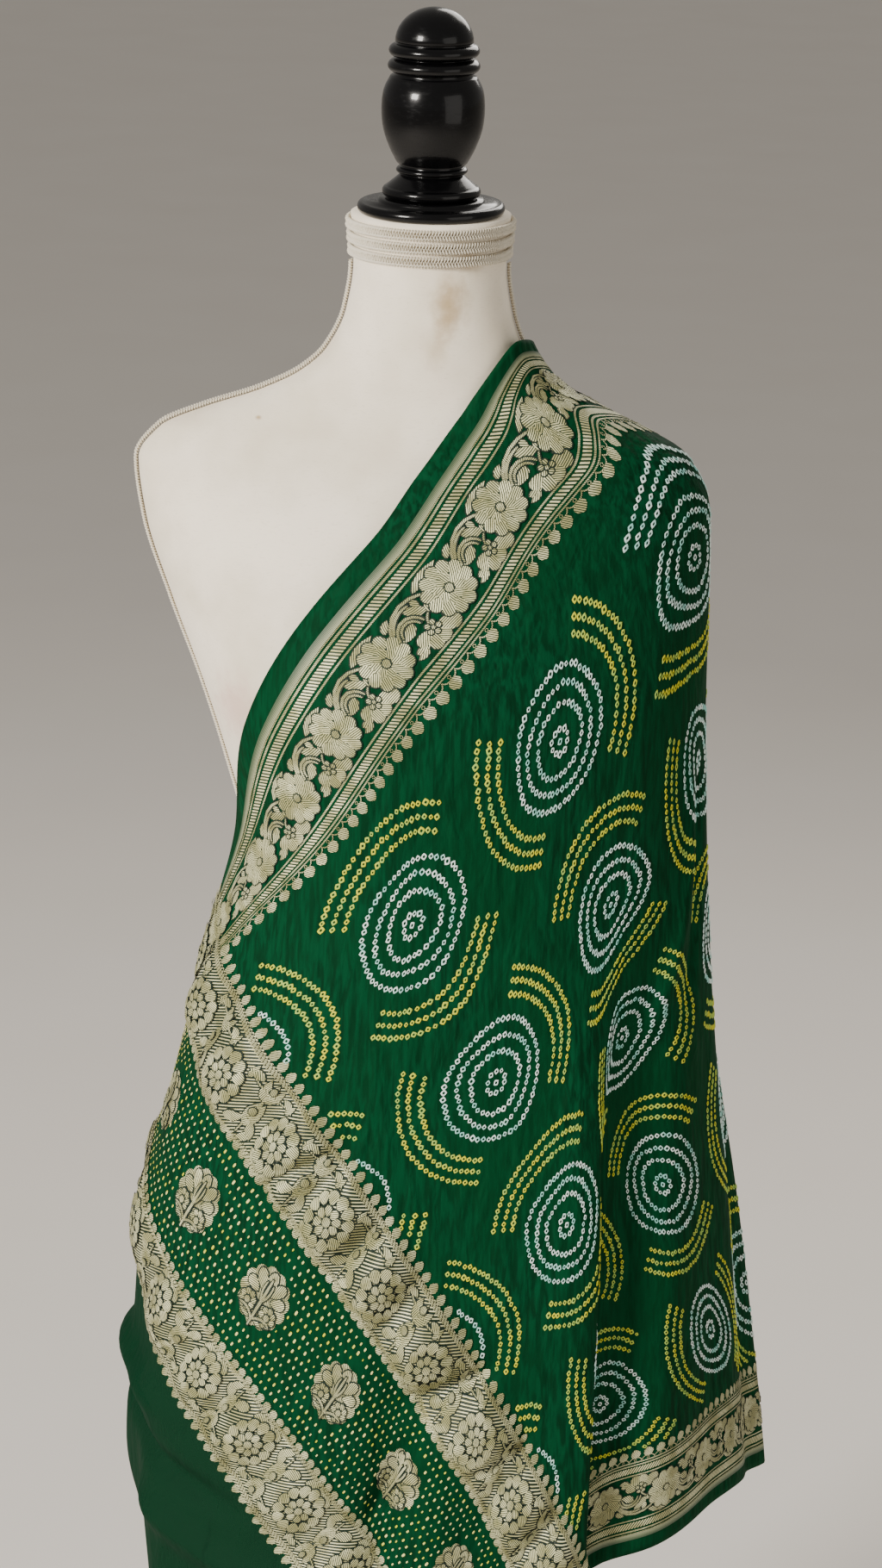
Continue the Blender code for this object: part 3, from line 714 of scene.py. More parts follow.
def smooth_profile(rows, steps=5):
    """A rounded line through the rows: a Catmull-Rom cubic on each stretch."""
    rows = np.array(rows)
    ends = np.concatenate([rows[:1], rows, rows[-1:]])
    t = np.linspace(0, 1, steps, endpoint=False)[None, :, None]
    a, b, c, d = ends[:-3, None], ends[1:-2, None], ends[2:-1, None], ends[3:, None]
    curve = 0.5 * (2 * b + (c - a) * t + (2 * a - 5 * b + 4 * c - d) * t ** 2
                   + (3 * b - a - 3 * c + d) * t ** 3)
    return np.concatenate([curve.reshape(-1, 2), rows[-1:]]).tolist()


def ring_bead(radius, middle, half_height, swell, points=11):
    """A rounded ring's outer profile: a half ellipse from top to bottom."""
    angle = np.linspace(np.pi / 2, -np.pi / 2, points)
    return [(radius + swell * np.cos(a), middle + half_height * np.sin(a)) for a in angle]


def make_torso(settings):
    """The covered body: the form's skin on a fine grid, closed at its foot and its neck."""
    turn = np.linspace(0, 360, TORSO_COLUMNS + 1)[:, None]
    height = np.linspace(TORSO_ROWS[0][0], TORSO_ROWS[-1][0], TORSO_RINGS + 1)
    skin = torso_point(turn + 0 * height, height + 0 * turn)
    inward = np.array([1.0, 0.6, 0.2, 0.0])
    foot = skin[:, :1] * np.array([1, 1, 0]) * inward[None, ::-1, None] + [0, 0, TORSO_ROWS[0][0]]
    top = skin[:, -1:] * np.array([1, 1, 0]) * inward[None, :, None] + [0, 0, TORSO_ROWS[-1][0]]
    points = np.concatenate([foot, skin, top], axis=1)
    flat = np.stack([np.radians(turn) * 0.12 + 0 * points[..., 2], points[..., 2]], axis=-1)
    piece = patch_mesh("covered_torso", [(points[None], flat[None], 0)], [linen(settings)])
    weld_patches(piece)
    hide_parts("torso")
    return piece


def weld_patches(piece):
    """Merges the doubled points where a closed surface meets itself."""
    mesh = bmesh.new()
    mesh.from_mesh(piece.data)
    bmesh.ops.remove_doubles(mesh, verts=mesh.verts, dist=0.00001)
    mesh.to_mesh(piece.data)
    mesh.free()


def tube_along(path, aside, outward, radius, sides=5):
    """A round tube: at each point of a path a ring of the given radius in the plane of its two directions."""
    angle = np.linspace(0, 2 * np.pi, sides + 1)[None, :, None]
    ring = np.cos(angle) * aside[:, None] + np.sin(angle) * outward[:, None]
    points = path[:, None] + radius * ring
    run = np.concatenate([[0], np.cumsum(np.linalg.norm(np.diff(path, axis=0), axis=1))])
    flat = np.stack([run[:, None] + 0 * angle[..., 0], radius * angle[..., 0] + 0 * run[:, None]], axis=-1)
    return points[None], flat[None]


def plait(path, outward, half_width, thick, pitch, strand, strands=3, per_turn=8):
    """Strands that cross like a plait: each swings sideways as sin(t) and in and out as sin(2t)."""
    run = np.concatenate([[0], np.cumsum(np.linalg.norm(np.diff(path, axis=0), axis=1))])
    turns = max(1, round(run[-1] / pitch))
    fine = np.linspace(0, run[-1], turns * per_turn + 1)
    line = np.stack([np.interp(fine, run, path[:, i]) for i in range(3)], axis=1)
    out = np.stack([np.interp(fine, run, outward[:, i]) for i in range(3)], axis=1)
    out /= np.linalg.norm(out, axis=1, keepdims=True)
    ahead = np.gradient(line, axis=0)
    aside = np.cross(ahead, out)
    aside /= np.linalg.norm(aside, axis=1, keepdims=True)
    made = []
    for k in range(strands):
        phase = 2 * np.pi * (fine / run[-1] * turns + k / strands)
        swing = half_width * np.sin(phase)
        rise = thick * (0.5 + 0.5 * np.sin(2 * phase))
        middle = line + aside * swing[:, None] + out * (rise + strand)[:, None]
        made.append((*tube_along(middle, aside, out, strand), 0))
    return made


def make_neck_braid(settings):
    """Three rows of plaited trim round the top of the neck, one above the other."""
    turn = np.linspace(0, 360, 181)
    row_height = (NECK_TOP - 0.002 - NECK_BRAID_FOOT) / NECK_BRAID_ROWS
    batches = []
    for row in range(NECK_BRAID_ROWS):
        height = NECK_BRAID_FOOT + (row + 0.5) * row_height + 0 * turn
        path = torso_point(turn, height, 0.0004)
        outward = torso_point(turn, height, 0.01) - torso_point(turn, height)
        batches += plait(path, outward, *NECK_PLAIT)
    piece = patch_mesh("neck_trim", batches, [cotton_braid(settings)])
    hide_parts("neck_braid")
    return piece


def make_side_braid(settings, name, node, side):
    """A narrow plaited trim down the shoulder line and the side seam."""
    height = np.linspace(SIDE_BRAID_TOP, SIDE_BRAID_FOOT, 400)
    width = along_rows(TORSO_ROWS, height)[:, 0 if side < 0 else 1]
    slope = np.gradient(width, height)
    outward = np.stack([side + 0 * slope, 0 * slope, -slope], axis=1)
    outward /= np.linalg.norm(outward, axis=1, keepdims=True)
    path = np.stack([side * width, 0 * width, height], axis=1) + 0.0002 * outward
    batches = plait(path, outward, *SIDE_PLAIT)
    piece = patch_mesh(name, batches, [cotton_braid(settings)])
    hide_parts(node)
    return piece


def make_neck_disc(settings):
    """The turned plate on the neck."""
    foot = NECK_TOP + GAP
    rim_top = foot + DISC_RIM
    top = rim_top + DISC_STEP
    ease_edge = DISC_STEP / 2
    profile = [(0.0, top), (DISC_STEP_RADIUS - ease_edge, top), (DISC_STEP_RADIUS, top - ease_edge),
               (DISC_STEP_RADIUS, rim_top)]
    profile += [(DISC_RADIUS - 0.003, rim_top)] + ring_bead(DISC_RADIUS - 0.003, foot + DISC_RIM / 2,
                                                             DISC_RIM / 2, 0.003)
    profile += [(0.0, foot)]
    points, flat = turned_surface(profile, between=1)
    piece = patch_mesh("neck_plate", [(points, flat, 0)], [black_lacquer(settings)])
    weld_patches(piece)
    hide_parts("neck_disc")
    return top


def make_finial(settings, seat):
    """The turned knob: a dome over two beads, an urn and a stepped foot, carried round the axis."""
    foot = seat + GAP
    dome_foot = FORM_TOP - DOME_HEIGHT
    angle = np.radians(np.linspace(0, 90, 12))
    dome = [(DOME_RADIUS * np.sin(a), dome_foot + DOME_HEIGHT * np.cos(a)) for a in angle]
    beads = ring_bead(0.0255, dome_foot - 0.0060, 0.0048, 0.0060)
    beads += ring_bead(0.0255, dome_foot - 0.0165, 0.0050, 0.0066)
    urn = smooth_profile([(radius, dome_foot - below) for radius, below in URN_ROWS])
    waist = ring_bead(0.0215, foot + 0.0190, 0.0024, 0.0035)
    waist += smooth_profile([(0.0222, foot + 0.0160), (0.0262, foot + 0.0125), (0.0310, foot + 0.0085)])
    rim = ring_bead(0.0318, foot + 0.0042, 0.0034, 0.0026)
    profile = dome + beads + urn + waist + rim + [(0.0318, foot), (0.0, foot)]
    points, flat = turned_surface(profile, between=1)
    piece = patch_mesh("turned_knob", [(points, flat, 0)], [black_lacquer(settings)])
    weld_patches(piece)
    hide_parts("finial")
    return piece


def finish_stand(settings):
    """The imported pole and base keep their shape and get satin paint."""
    paint = satin_paint(settings)
    for node in ("pole", "base"):
        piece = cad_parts[node]
        piece.data.materials.clear()
        piece.data.materials.append(paint)


# The shapes that the woven motifs are made of, and how finely each is gridded along and across
SHAPE_STEPS = {"leaf": (6, 2), "petal": (6, 2), "round": (6, 4), "stem": (9, 1), "spade": (5, 2)}
SHAPE_LIFTS = {"leaf": 0.0, "petal": 0.00008, "round": 0.00016, "stem": 0.00024, "spade": 0.0}
LEAF_RISE = 0.00018
WAVE_PERIOD = 0.31416

# The rows of metal thread
ZARI_ROWS = {
    # pitch in mm, slant in degrees, colour of the gap where it is its own, where the thread's edge begins
    "zari_hatch": (1.25, 62, None, 0.22),
    "zari_line": (0.9, 35, None, 0.22),
    "zari_ladder": (2.1, 35, None, 0.30),
    "zari_band": (1.35, 58, None, 0.22),
    "zari_heart": (1.0, 30, None, 0.22),
    "zari_ground": (2.4, 48, "#06210F", 0.50),
    "zari_sprig": (1.3, 60, None, 0.22),
    "zari_eye": (0.9, 20, None, 0.22),
}
ZARI_EDGE = 0.36
OUTLINE_COLOUR = "#041C0E"

# Straight parts of the long border, in mm from the selvedge
PINSTRIPES = (12.5, 17.6)
BORDER_LINES = (
    # from, to
    (17.9, 18.5),
    (19.8, 21.2),
    (30.2, 31.3),
    (71.4, 72.6),
    (80.6, 81.8),
    (83.2, 84.2),
)
BORDER_LADDERS = (
    # from, to
    (22.9, 28.6),
    (74.3, 79.3),
)
SCROLL_FOOT = 31.9
SCROLL_PITCH = 0.0575
SCROLL_ROWS = (
    # shape, x along the cloth, y from the scroll's foot, heading, length, width, bend, in mm and degrees
    ("stem", -46.5, 18.5, -69, 45.0, 1.9, 120),
    ("stem", -44.2, 18.8, -72, 27.0, 1.8, 92),
    ("stem", -42.0, 19.0, -77, 27.0, 1.8, 165),
    ("stem", -39.6, 19.2, -77, 19.5, 1.6, 165),
    ("leaf", -29.0, 15.0, 142, 14.5, 9.4, 38),
    ("leaf", -17.4, 17.6, 214, 15.0, 6.6, 24),
    ("leaf", -18.8, 13.6, -100, 8.0, 4.2, 20),
    ("leaf", -15.2, 5.6, -14, 24.0, 6.2, 18),
    ("leaf", -12.5, 14.6, 150, 8.6, 4.0, -30),
    ("leaf", 13.5, 9.0, -50, 9.0, 4.6, 40),
    ("leaf", 15.5, 30.5, 30, 9.0, 4.8, -30),
    ("stem", -23.7, 24.0, -60, 7.0, 1.1, 40),
    ("petal", -22.7, 28.6, 28, 15.5, 9.8, 8),
    ("petal", -24.2, 29.4, 80, 10.0, 9.8, 0),
    ("petal", -25.4, 29.0, 126, 11.5, 9.0, 0),
    ("petal", -26.4, 27.6, 174, 11.5, 8.2, -12),
    ("leaf", -14.8, 26.6, 20, 7.8, 4.4, 30),
    ("leaf", -35.4, 33.6, 165, 9.0, 4.2, 24),
)
SCROLL_FLOWERS = (
    # x, y, inner radius, outer radius, petals, width, first heading
    (0.0, 20.0, 7.0, 17.0, 11, 8.2, 12),
    (0.0, 20.0, 2.6, 10.4, 8, 6.4, 30),
    (-23.9, 27.6, 1.4, 4.8, 5, 3.1, 20),
)
SCROLL_HEARTS = (
    # x, y, radius
    (0.0, 20.0, 2.6),
    (-23.9, 27.6, 1.2),
)
TIP_PITCH = 0.0117
TIP_ROWS = (
    # shape, x, y from the last line, heading, length, width, bend
    ("stem", -5.85, 0.4, 78, 5.6, 0.8, -78),
    ("stem", 5.85, 0.4, 102, 5.6, 0.8, 78),
    ("spade", 0.0, 3.2, 90, 8.4, 9.0, 0),
)
TIP_RINGS = ((0.0, 1.7, 0.55, 1.25, 6, 0.75, 0),)

# The two cross bands, in mm: x runs across the cloth and y from the band's edge at the dotted zone
BAND_PITCH = 0.0770
BAND_SPREAD = 1.24
BAND_ROWS = (
    # shape, x, y, heading, length, width, bend
    ("leaf", -31.0, 16.0, 62, 21.0, 9.5, 36),
    ("leaf", -30.0, 17.0, 108, 20.0, 8.8, -38),
    ("leaf", -19.0, 12.0, 150, 14.5, 7.4, -28),
    ("leaf", -20.0, 13.0, 205, 12.0, 6.0, 20),
    ("leaf", -44.0, 12.5, 20, 15.0, 7.4, 26),
    ("leaf", -31.0, 40.0, 48, 15.0, 7.6, 30),
    ("leaf", -31.0, 40.0, 132, 15.0, 7.6, -30),
    ("leaf", -31.0, 41.0, 90, 13.5, 6.0, 0),
    ("leaf", -22.0, 51.5, 5, 14.0, 5.2, -24),
    ("leaf", -40.0, 51.5, 175, 14.0, 5.2, 24),
    ("leaf", -14.0, 46.0, 66, 9.0, 5.0, 24),
    ("leaf", 14.0, 46.0, 114, 9.0, 5.0, -24),
    ("leaf", -13.0, 11.5, -30, 13.0, 6.2, 30),
    ("leaf", 13.0, 11.5, 210, 13.0, 6.2, -30),
    ("petal", 0.0, 11.6, -90, 6.0, 8.0, 0),
    ("stem", -31.0, 8.4, 88, 33.0, 1.6, 4),
    ("stem", -17.0, 49.0, 198, 19.0, 1.2, -36),
    ("stem", 17.0, 49.0, -18, 19.0, 1.2, 36),
)
BAND_FLOWERS = (
    # x, y, inner radius, outer radius, petals, width, first heading
    (0.0, 29.0, 11.6, 21.5, 12, 9.6, 8),
    (0.0, 29.0, 3.6, 11.2, 8, 6.0, 0),
)
BAND_HEARTS = (
    # x, y, radius
    (0.0, 29.0, 3.4),
    (-38.5, 29.5, 3.2),
    (-38.5, 50.5, 2.8),
)
ROPE_PITCH = 0.0034
ROPE_ROWS = (
    # shape, x, y, heading, length, width, bend
    ("leaf", 0.0, 2.6, 38, 6.2, 2.1, 14),
    ("leaf", 0.0, 56.8, 142, 6.6, 2.2, -14),
)
BAND_TIP_PITCH = 0.0118
BAND_TIP_ROWS = (("spade", 0.0, 61.6, 90, 8.2, 8.6, 0),)
BAND_SCALLOP_PITCH = 0.0094
BAND_SCALLOP_ROWS = (("round", 0.0, -1.8, 90, 5.6, 7.8, 0),)

# The round sprigs between the bands, in mm: x points to the field, y across the cloth
SPRIG_PITCH = 0.1035
SPRIG_START = 0.0350
SPRIG_SPREAD = 1.22
SPRIG_TURN = -6.0
SPRIG_STEMS = (
    # shape, x, y, heading, length, width, bend
    ("stem", -21.5, 0.0, 0, 36.0, 2.2, 0),
    ("stem", -17.0, 0.0, 34, 16.0, 1.7, 76),
    ("stem", -17.0, 0.0, -34, 16.0, 1.7, -76),
    ("stem", -3.0, 0.0, 36, 15.0, 1.5, -50),
    ("stem", -3.0, 0.0, -36, 15.0, 1.5, 50),
)
SPRIG_LEAVES = (
    # shape, x, y, heading, length, width, bend
    ("petal", 4.5, 0.0, 0, 15.0, 8.4, 0),
    ("petal", 3.5, 3.2, 30, 15.0, 8.0, 10),
    ("petal", 3.5, -3.2, -30, 15.0, 8.0, -10),
    ("petal", 1.0, 6.0, 62, 12.0, 7.6, 14),
    ("petal", 1.0, -6.0, -62, 12.0, 7.6, -14),
    ("leaf", -16.5, 2.2, 66, 12.0, 6.0, 30),
    ("leaf", -16.5, -2.2, -66, 12.0, 6.0, -30),
    ("leaf", -6.0, 2.0, 78, 7.5, 4.6, 20),
    ("leaf", -6.0, -2.0, -78, 7.5, 4.6, -20),
)
SPRIG_OVAL = (("round", -20.5, 0.0, 0, 41.0, 34.0, 0),)
SPRIG_RIM = ((0.0, 0.0, 9.0, 21.5, 13, 10.0, 14),)
SPRIG_FLOWERS = (
    # x, y, inner radius, outer radius, petals, width, first heading
    (-8.6, 9.8, 2.6, 7.2, 8, 4.2, 0),
    (-8.0, -9.8, 2.6, 7.2, 8, 4.2, 20),
)
SPRIG_HEARTS = (
    # x, y, radius
    (-8.6, 9.8, 2.3),
    (-8.0, -9.8, 2.3),
)

# Tied dots: circles and arcs on one square lattice of the flat cloth
LATTICE_START = (0.493, 0.190)
LATTICE_PITCH = 0.158
LATTICE_COUNT = (6, 5)
CIRCLE_RADII = (0.0446, 0.0340, 0.0233, 0.0084)
ARC_RADII = (0.0620, 0.0715, 0.0810)
ARC_SPAN = 100.0
PALE_ARCS = (3, 0, 270)
DOT_PITCH = 0.0052
DOT_RADIUS = 0.0023
DOT_HOLE = 0.42
RING_STEPS = 8
FIELD_EDGE = 0.004
LOOSE_PITCH = (0.0066, 0.0070)
LOOSE_DOT = 0.00105


def half_widths(shape, t):
    """How wide a shape is along its length, as a share: plain sines and powers with round or pointed ends."""
    if shape == "petal":
        return np.sin(np.pi * t ** 1.4) ** 0.5
    if shape == "round":
        return np.sqrt(np.clip(1 - (2 * t - 1) ** 2, 0, 1))
    if shape == "stem":
        return 0.4 + 0.6 * np.sin(np.pi * t) ** 0.5
    if shape == "spade":
        return np.minimum(1.0, 0.55 + 1.5 * t) * np.clip((1 - t) / 0.45, 0, 1) ** 0.65
    return np.sin(np.pi * t ** 0.8) ** 0.9


def spread(rows, places, lift, grow=0.0):
    """Grid patches for motif rows at places of (u, v, turn, mirror): each runs along an arc of even bend."""
    batches = []
    places = np.array(places, dtype=float)
    for shape, (along, across) in SHAPE_STEPS.items():
        own = np.array([row[1:] for row in rows if row[0] == shape])
        if len(own):
            batches.append(spread_shape(shape, along, across, own, places, lift, grow))
    return batches


def spread_shape(shape, along, across, rows, places, lift, grow):
    """The patches of one shape: the chord of an arc of length t is t sinc(bend t / 2)."""
    x, y, heading, length, width, bend = (rows[:, k][None, :, None, None] for k in range(6))
    t = ((1 - np.cos(np.pi * np.arange(along + 1) / along)) / 2)[None, None, :, None]
    s = np.linspace(-1, 1, across + 1)[None, None, None, :]
    heading, bend = np.radians(heading), np.radians(bend)
    x, y = x - grow * np.cos(heading), y - grow * np.sin(heading)
    length, width = length + 2 * grow, width + 2 * grow
    reach = length * t * np.sinc(bend * t / 2 / np.pi)
    tangent = heading + bend * t
    half = width / 2 * half_widths(shape, t)
    px = x + reach * np.cos(heading + bend * t / 2) + s * half * np.sin(tangent)
    py = y + reach * np.sin(heading + bend * t / 2) - s * half * np.cos(tangent)
    flat = np.stack([(length * t + 0 * s + 0 * half), s * half + 0 * t], axis=-1) * MM
    u0, v0, turn, mirror = (places[:, k][:, None, None, None] for k in range(4))
    turn = np.radians(turn)
    py = py * mirror
    u = u0 + (px * np.cos(turn) - py * np.sin(turn)) * MM
    v = v0 + (px * np.sin(turn) + py * np.cos(turn)) * MM
    rise = lift + SHAPE_LIFTS[shape] + LEAF_RISE * (1 - s ** 2) + 0 * u
    points = SURFACE.at(u, v, rise)
    flat = np.broadcast_to(flat, points.shape[:4] + (2,)).copy()
    flipped = places[:, 3] < 0
    points[flipped] = points[flipped][..., ::-1, :]
    flat[flipped] = flat[flipped][..., ::-1, :]
    count = points.shape[0] * points.shape[1]
    return points.reshape(count, *points.shape[2:]), flat.reshape(count, *flat.shape[2:])


def petals_of(flowers):
    """Motif rows of round flowers: petals stand evenly between an inner and an outer radius."""
    rows = []
    for x, y, inner, outer, count, width, first in flowers:
        for k in range(count):
            heading = first + 360 * k / count
            foot = (x + inner * np.cos(np.radians(heading)), y + inner * np.sin(np.radians(heading)))
            rows.append(("petal", *foot, heading, outer - inner, width, 0))
    return rows


def hearts_of(hearts):
    """Motif rows of the flowers' round middles."""
    return [("round", x - radius, y, 0, 2 * radius, 2 * radius, 0) for x, y, radius in hearts]


def widened(rows, share):
    """The same motif rows stretched along the band."""
    return [(shape, x * share, y, heading, length * (1 + share) / 2, width * (1 + share) / 2, bend)
            for shape, x, y, heading, length, width, bend in rows]


def shifted(rows, dy):
    """The same motif rows moved away from the selvedge."""
    return [(shape, x, y + dy, *rest) for shape, x, y, *rest in rows]


def strip(v_from, v_to, u_from, u_to, lift, steps=270, across=1):
    """One long patch between two lines along the cloth, and its own length and width in metres."""
    u = np.linspace(u_from, u_to, steps + 1)[:, None]
    v = np.linspace(v_to, v_from, across + 1)[None, :]
    place = SURFACE.at(u + 0 * v, v + 0 * u, lift + 0 * (u + v))
    flat = np.stack([u + 0 * v, np.abs(v - v_from) + 0 * u], axis=-1)
    return place[None], flat[None]


def zari(settings, name):
    """Metal thread woven in rows over the green weft: dull gold with dark gaps between the rows."""
    pitch, slant, gap, first = ZARI_ROWS[name]
    made, tree, shader = new_material(name)
    rows = add_node(tree, "ShaderNodeTexWave", {
        "Vector": flat_place(tree, (per_mm(pitch), per_mm(pitch), 1), slant), "Scale": WAVE_PERIOD,
        "Distortion": 0.25, "Detail": 1.0, "Detail Scale": 2.0}).outputs["Fac"]
    # Random patches of duller thread: partly wear, partly painted sheen for threads turned away from the
    # light
    cloud = noise(tree, form_place(tree), per_mm(16.0), 3.0)
    wear_and_sheen = range_of(tree, cloud, 0.35, 0.68)
    thread = blend_colours(tree, wear_and_sheen, rgba(settings.zari_shade), rgba(settings.zari))
    over = range_of(tree, rows, first, first + ZARI_EDGE)
    colour = blend_colours(tree, over, rgba(gap or settings.zari_gap), thread)
    wire(tree, shader, colour=colour, normal=bump_of(tree, rows, 0.7, 0.0005),
         metallic=range_of(tree, rows, 0.3, 0.7, 0.0, 0.25))
    shader.inputs["Roughness"].default_value = 0.46
    shader.inputs["Specular IOR Level"].default_value = 0.35
    return made


def under_green(settings):
    """The green weft that shows as a thin dark line round each woven shape."""
    made, tree, shader = new_material("dark_outline")
    grain = noise(tree, form_place(tree), per_mm(2.0))
    wire(tree, shader, colour=blend_colours(tree, grain, rgba(settings.deep_green_and_crinkle_shade), rgba(OUTLINE_COLOUR)))
    shader.inputs["Roughness"].default_value = 0.8
    return made


def pinstripes(settings):
    """Seven hair-thin lines of metal thread in the green, closer towards the border."""
    made, tree, shader = new_material("pinstripes")
    lines = add_node(tree, "ShaderNodeTexWave", {
        "Vector": flat_place(tree, (per_mm(0.75), per_mm(0.75), 1)), "Scale": WAVE_PERIOD},
        bands_direction="Y")
    across = add_node(tree, "ShaderNodeSeparateXYZ", {0: flat_place(tree, (per_mm(5.1), per_mm(5.1), 1))})
    fill = range_of(tree, across.outputs["Y"], 0.0, 1.2, 0.10, 0.66)
    amount = add_node(tree, "ShaderNodeMath", {0: lines.outputs["Fac"], 1: fill}, operation="MULTIPLY")
    colour = blend_colours(tree, amount.outputs[0], rgba(settings.green), rgba(settings.zari))
    tree.links.new(colour, shader.inputs["Base Color"])
    shader.inputs["Roughness"].default_value = 0.5
    return made


def tied_dye(settings, name, first, second):
    """Tied and dyed cloth: a pale raised ring where the thread was wound, its edges stained by the green."""
    made, tree, shader = new_material(name)
    place = add_node(tree, "ShaderNodeSeparateXYZ", {0: flat_place(tree, (1, 1, 1))})
    cloud = noise(tree, form_place(tree), per_mm(11.0), 3.0)
    colour = blend_colours(tree, range_of(tree, cloud, 0.38, 0.66), rgba(first), rgba(second))
    inner = range_of(tree, place.outputs["X"], 0.0, 0.30)
    outer = range_of(tree, place.outputs["X"], 1.0, 0.78)
    solid = add_node(tree, "ShaderNodeMath", {0: inner, 1: outer}, operation="MULTIPLY")
    amount = range_of(tree, solid.outputs[0], 0.0, 1.0, 0.30, 1.0)
    stained = blend_colours(tree, amount, rgba(settings.green), colour)
    tree.links.new(stained, shader.inputs["Base Color"])
    shader.inputs["Roughness"].default_value = 0.7
    return made


def make_borders(settings):
    """The woven borders along both selvedges: pinstripes, lines, ladders, a scroll and arches with tips."""
    woven = [zari(settings, name) for name in ("zari_hatch", "zari_line", "zari_ladder")]
    materials = woven + [pinstripes(settings), under_green(settings)]
    batches = []
    for edge, away in ((0.0, 1), (CLOTH_WIDTH, -1)):
        spans = [(PINSTRIPES, 3)] + [(line, 1) for line in BORDER_LINES]
        spans += [(line, 2) for line in BORDER_LADDERS]
        for (low, high), kind in spans:
            near, far = sorted((edge + away * low * MM, edge + away * high * MM))
            points, flat = strip(near, far, END_BAND[0], CLOTH_LENGTH - 0.001, ON_TOP)
            if away < 0:
                flat[..., 1] = (high - low) * MM - flat[..., 1]
            batches.append((points, flat, kind))
        repeats = np.arange(END_BAND[0] + 0.050, CLOTH_LENGTH - 0.020, SCROLL_PITCH)
        places = [(u, edge, 0, away) for u in repeats]
        leaves = shifted([row for row in SCROLL_ROWS if row[0] != "stem"], SCROLL_FOOT)
        stems = shifted([row for row in SCROLL_ROWS if row[0] == "stem"], SCROLL_FOOT)
        flowers = shifted(petals_of(SCROLL_FLOWERS), SCROLL_FOOT)
        hearts = shifted(hearts_of(SCROLL_HEARTS), SCROLL_FOOT)
        layers = ((leaves, 0, 0.0), (stems, 1, 0.0003), (flowers, 0, 0.0006), (hearts, 1, 0.0010))
        for rows, kind, above in layers:
            batches += [(*made, 4) for made in spread(rows, places, ON_TOP + above - 0.0001, 0.75)]
            batches += [(*made, kind) for made in spread(rows, places, ON_TOP + above + 0.0001)]
        repeats = np.arange(END_BAND[0] + 0.012, CLOTH_LENGTH - 0.008, TIP_PITCH)
        places = [(u, edge, 0, away) for u in repeats]
        tips = shifted(list(TIP_ROWS) + petals_of(TIP_RINGS), BORDER_LINES[-1][1])
        spade_grid = SHAPE_STEPS["spade"][0] + 1
        for made in spread(tips, places, ON_TOP + 0.0001):
            batches.append((*made, 0 if made[0].shape[1] == spade_grid else 1))
    return patch_mesh("woven_borders", batches, materials)


def make_bands(settings):
    """The two stiff cross bands: big flowers and leaves close together, a slanted rope at each side, tips."""
    woven = [zari(settings, name) for name in ("zari_band", "zari_heart", "zari_ground")]
    materials = woven + [under_green(settings)]
    batches = []
    for (low, high), toward in ((FIELD_BAND, 1), (END_BAND, -1)):
        foot = low if toward > 0 else high
        turn = 90 * toward
        cross = np.linspace(0, CLOTH_WIDTH, 361)[:, None]
        deep = np.linspace(low + 0.0015, high - 0.0035, 27)[None, :]
        place = SURFACE.at(deep + 0 * cross, cross + 0 * deep, ON_TOP + 0.0004 + 0 * (cross + deep))
        flat = np.stack([cross + 0 * deep, deep + 0 * cross], axis=-1)
        batches.append((place[None, ::-1], flat[None, ::-1], 2))

        def places_at(pitch):
            return [(foot, v, turn, -1) for v in np.arange(pitch / 2, CLOTH_WIDTH - pitch * 0.3, pitch)]

        places = places_at(BAND_PITCH)
        leaves = widened(BAND_ROWS, BAND_SPREAD)
        flowers = petals_of(BAND_FLOWERS)
        hearts = hearts_of(BAND_HEARTS)
        layers = ((leaves, 0, 0.0007, 1.0), (flowers, 0, 0.0014, 0.9), (hearts, 1, 0.0020, 0.7))
        for rows, kind, above, outline in layers:
            batches += [(*made, 3) for made in spread(rows, places, ON_TOP + above, outline)]
            batches += [(*made, kind) for made in spread(rows, places, ON_TOP + above + 0.0004)]
        edges = ((ROPE_ROWS, ROPE_PITCH, 1, 0.0010), (BAND_TIP_ROWS, BAND_TIP_PITCH, 0, 0.0003),
                 (BAND_SCALLOP_ROWS, BAND_SCALLOP_PITCH, 0, 0.0003))
        for rows, pitch, kind, above in edges:
            batches += [(*made, kind) for made in spread(rows, places_at(pitch), ON_TOP + above)]
    return patch_mesh("woven_bands", batches, materials)


def make_sprigs(settings):
    """A row of round sprigs between the bands: stem, curled leaves and small flowers close together."""
    materials = [zari(settings, "zari_sprig"), under_green(settings), zari(settings, "zari_eye")]
    middles = np.arange(SPRIG_START, CLOTH_WIDTH - 0.02, SPRIG_PITCH)
    places = [(SPRIG_LINE, v, SPRIG_TURN, SPRIG_SPREAD) for v in middles]
    ground = list(SPRIG_OVAL) + petals_of(SPRIG_RIM)
    batches = [(*made, 0) for made in spread(ground, places, ON_TOP)]
    layers = ((SPRIG_LEAVES, 0, 0.0005), (petals_of(SPRIG_FLOWERS), 0, 0.0009),
              (hearts_of(SPRIG_HEARTS), 2, 0.0012), (SPRIG_STEMS, 2, 0.0012))
    for rows, kind, above in layers:
        batches += [(*made, 1) for made in spread(rows, places, ON_TOP + above, 0.9)]
        batches += [(*made, kind) for made in spread(rows, places, ON_TOP + above + 0.0003)]
    return patch_mesh("woven_sprigs", batches, materials)


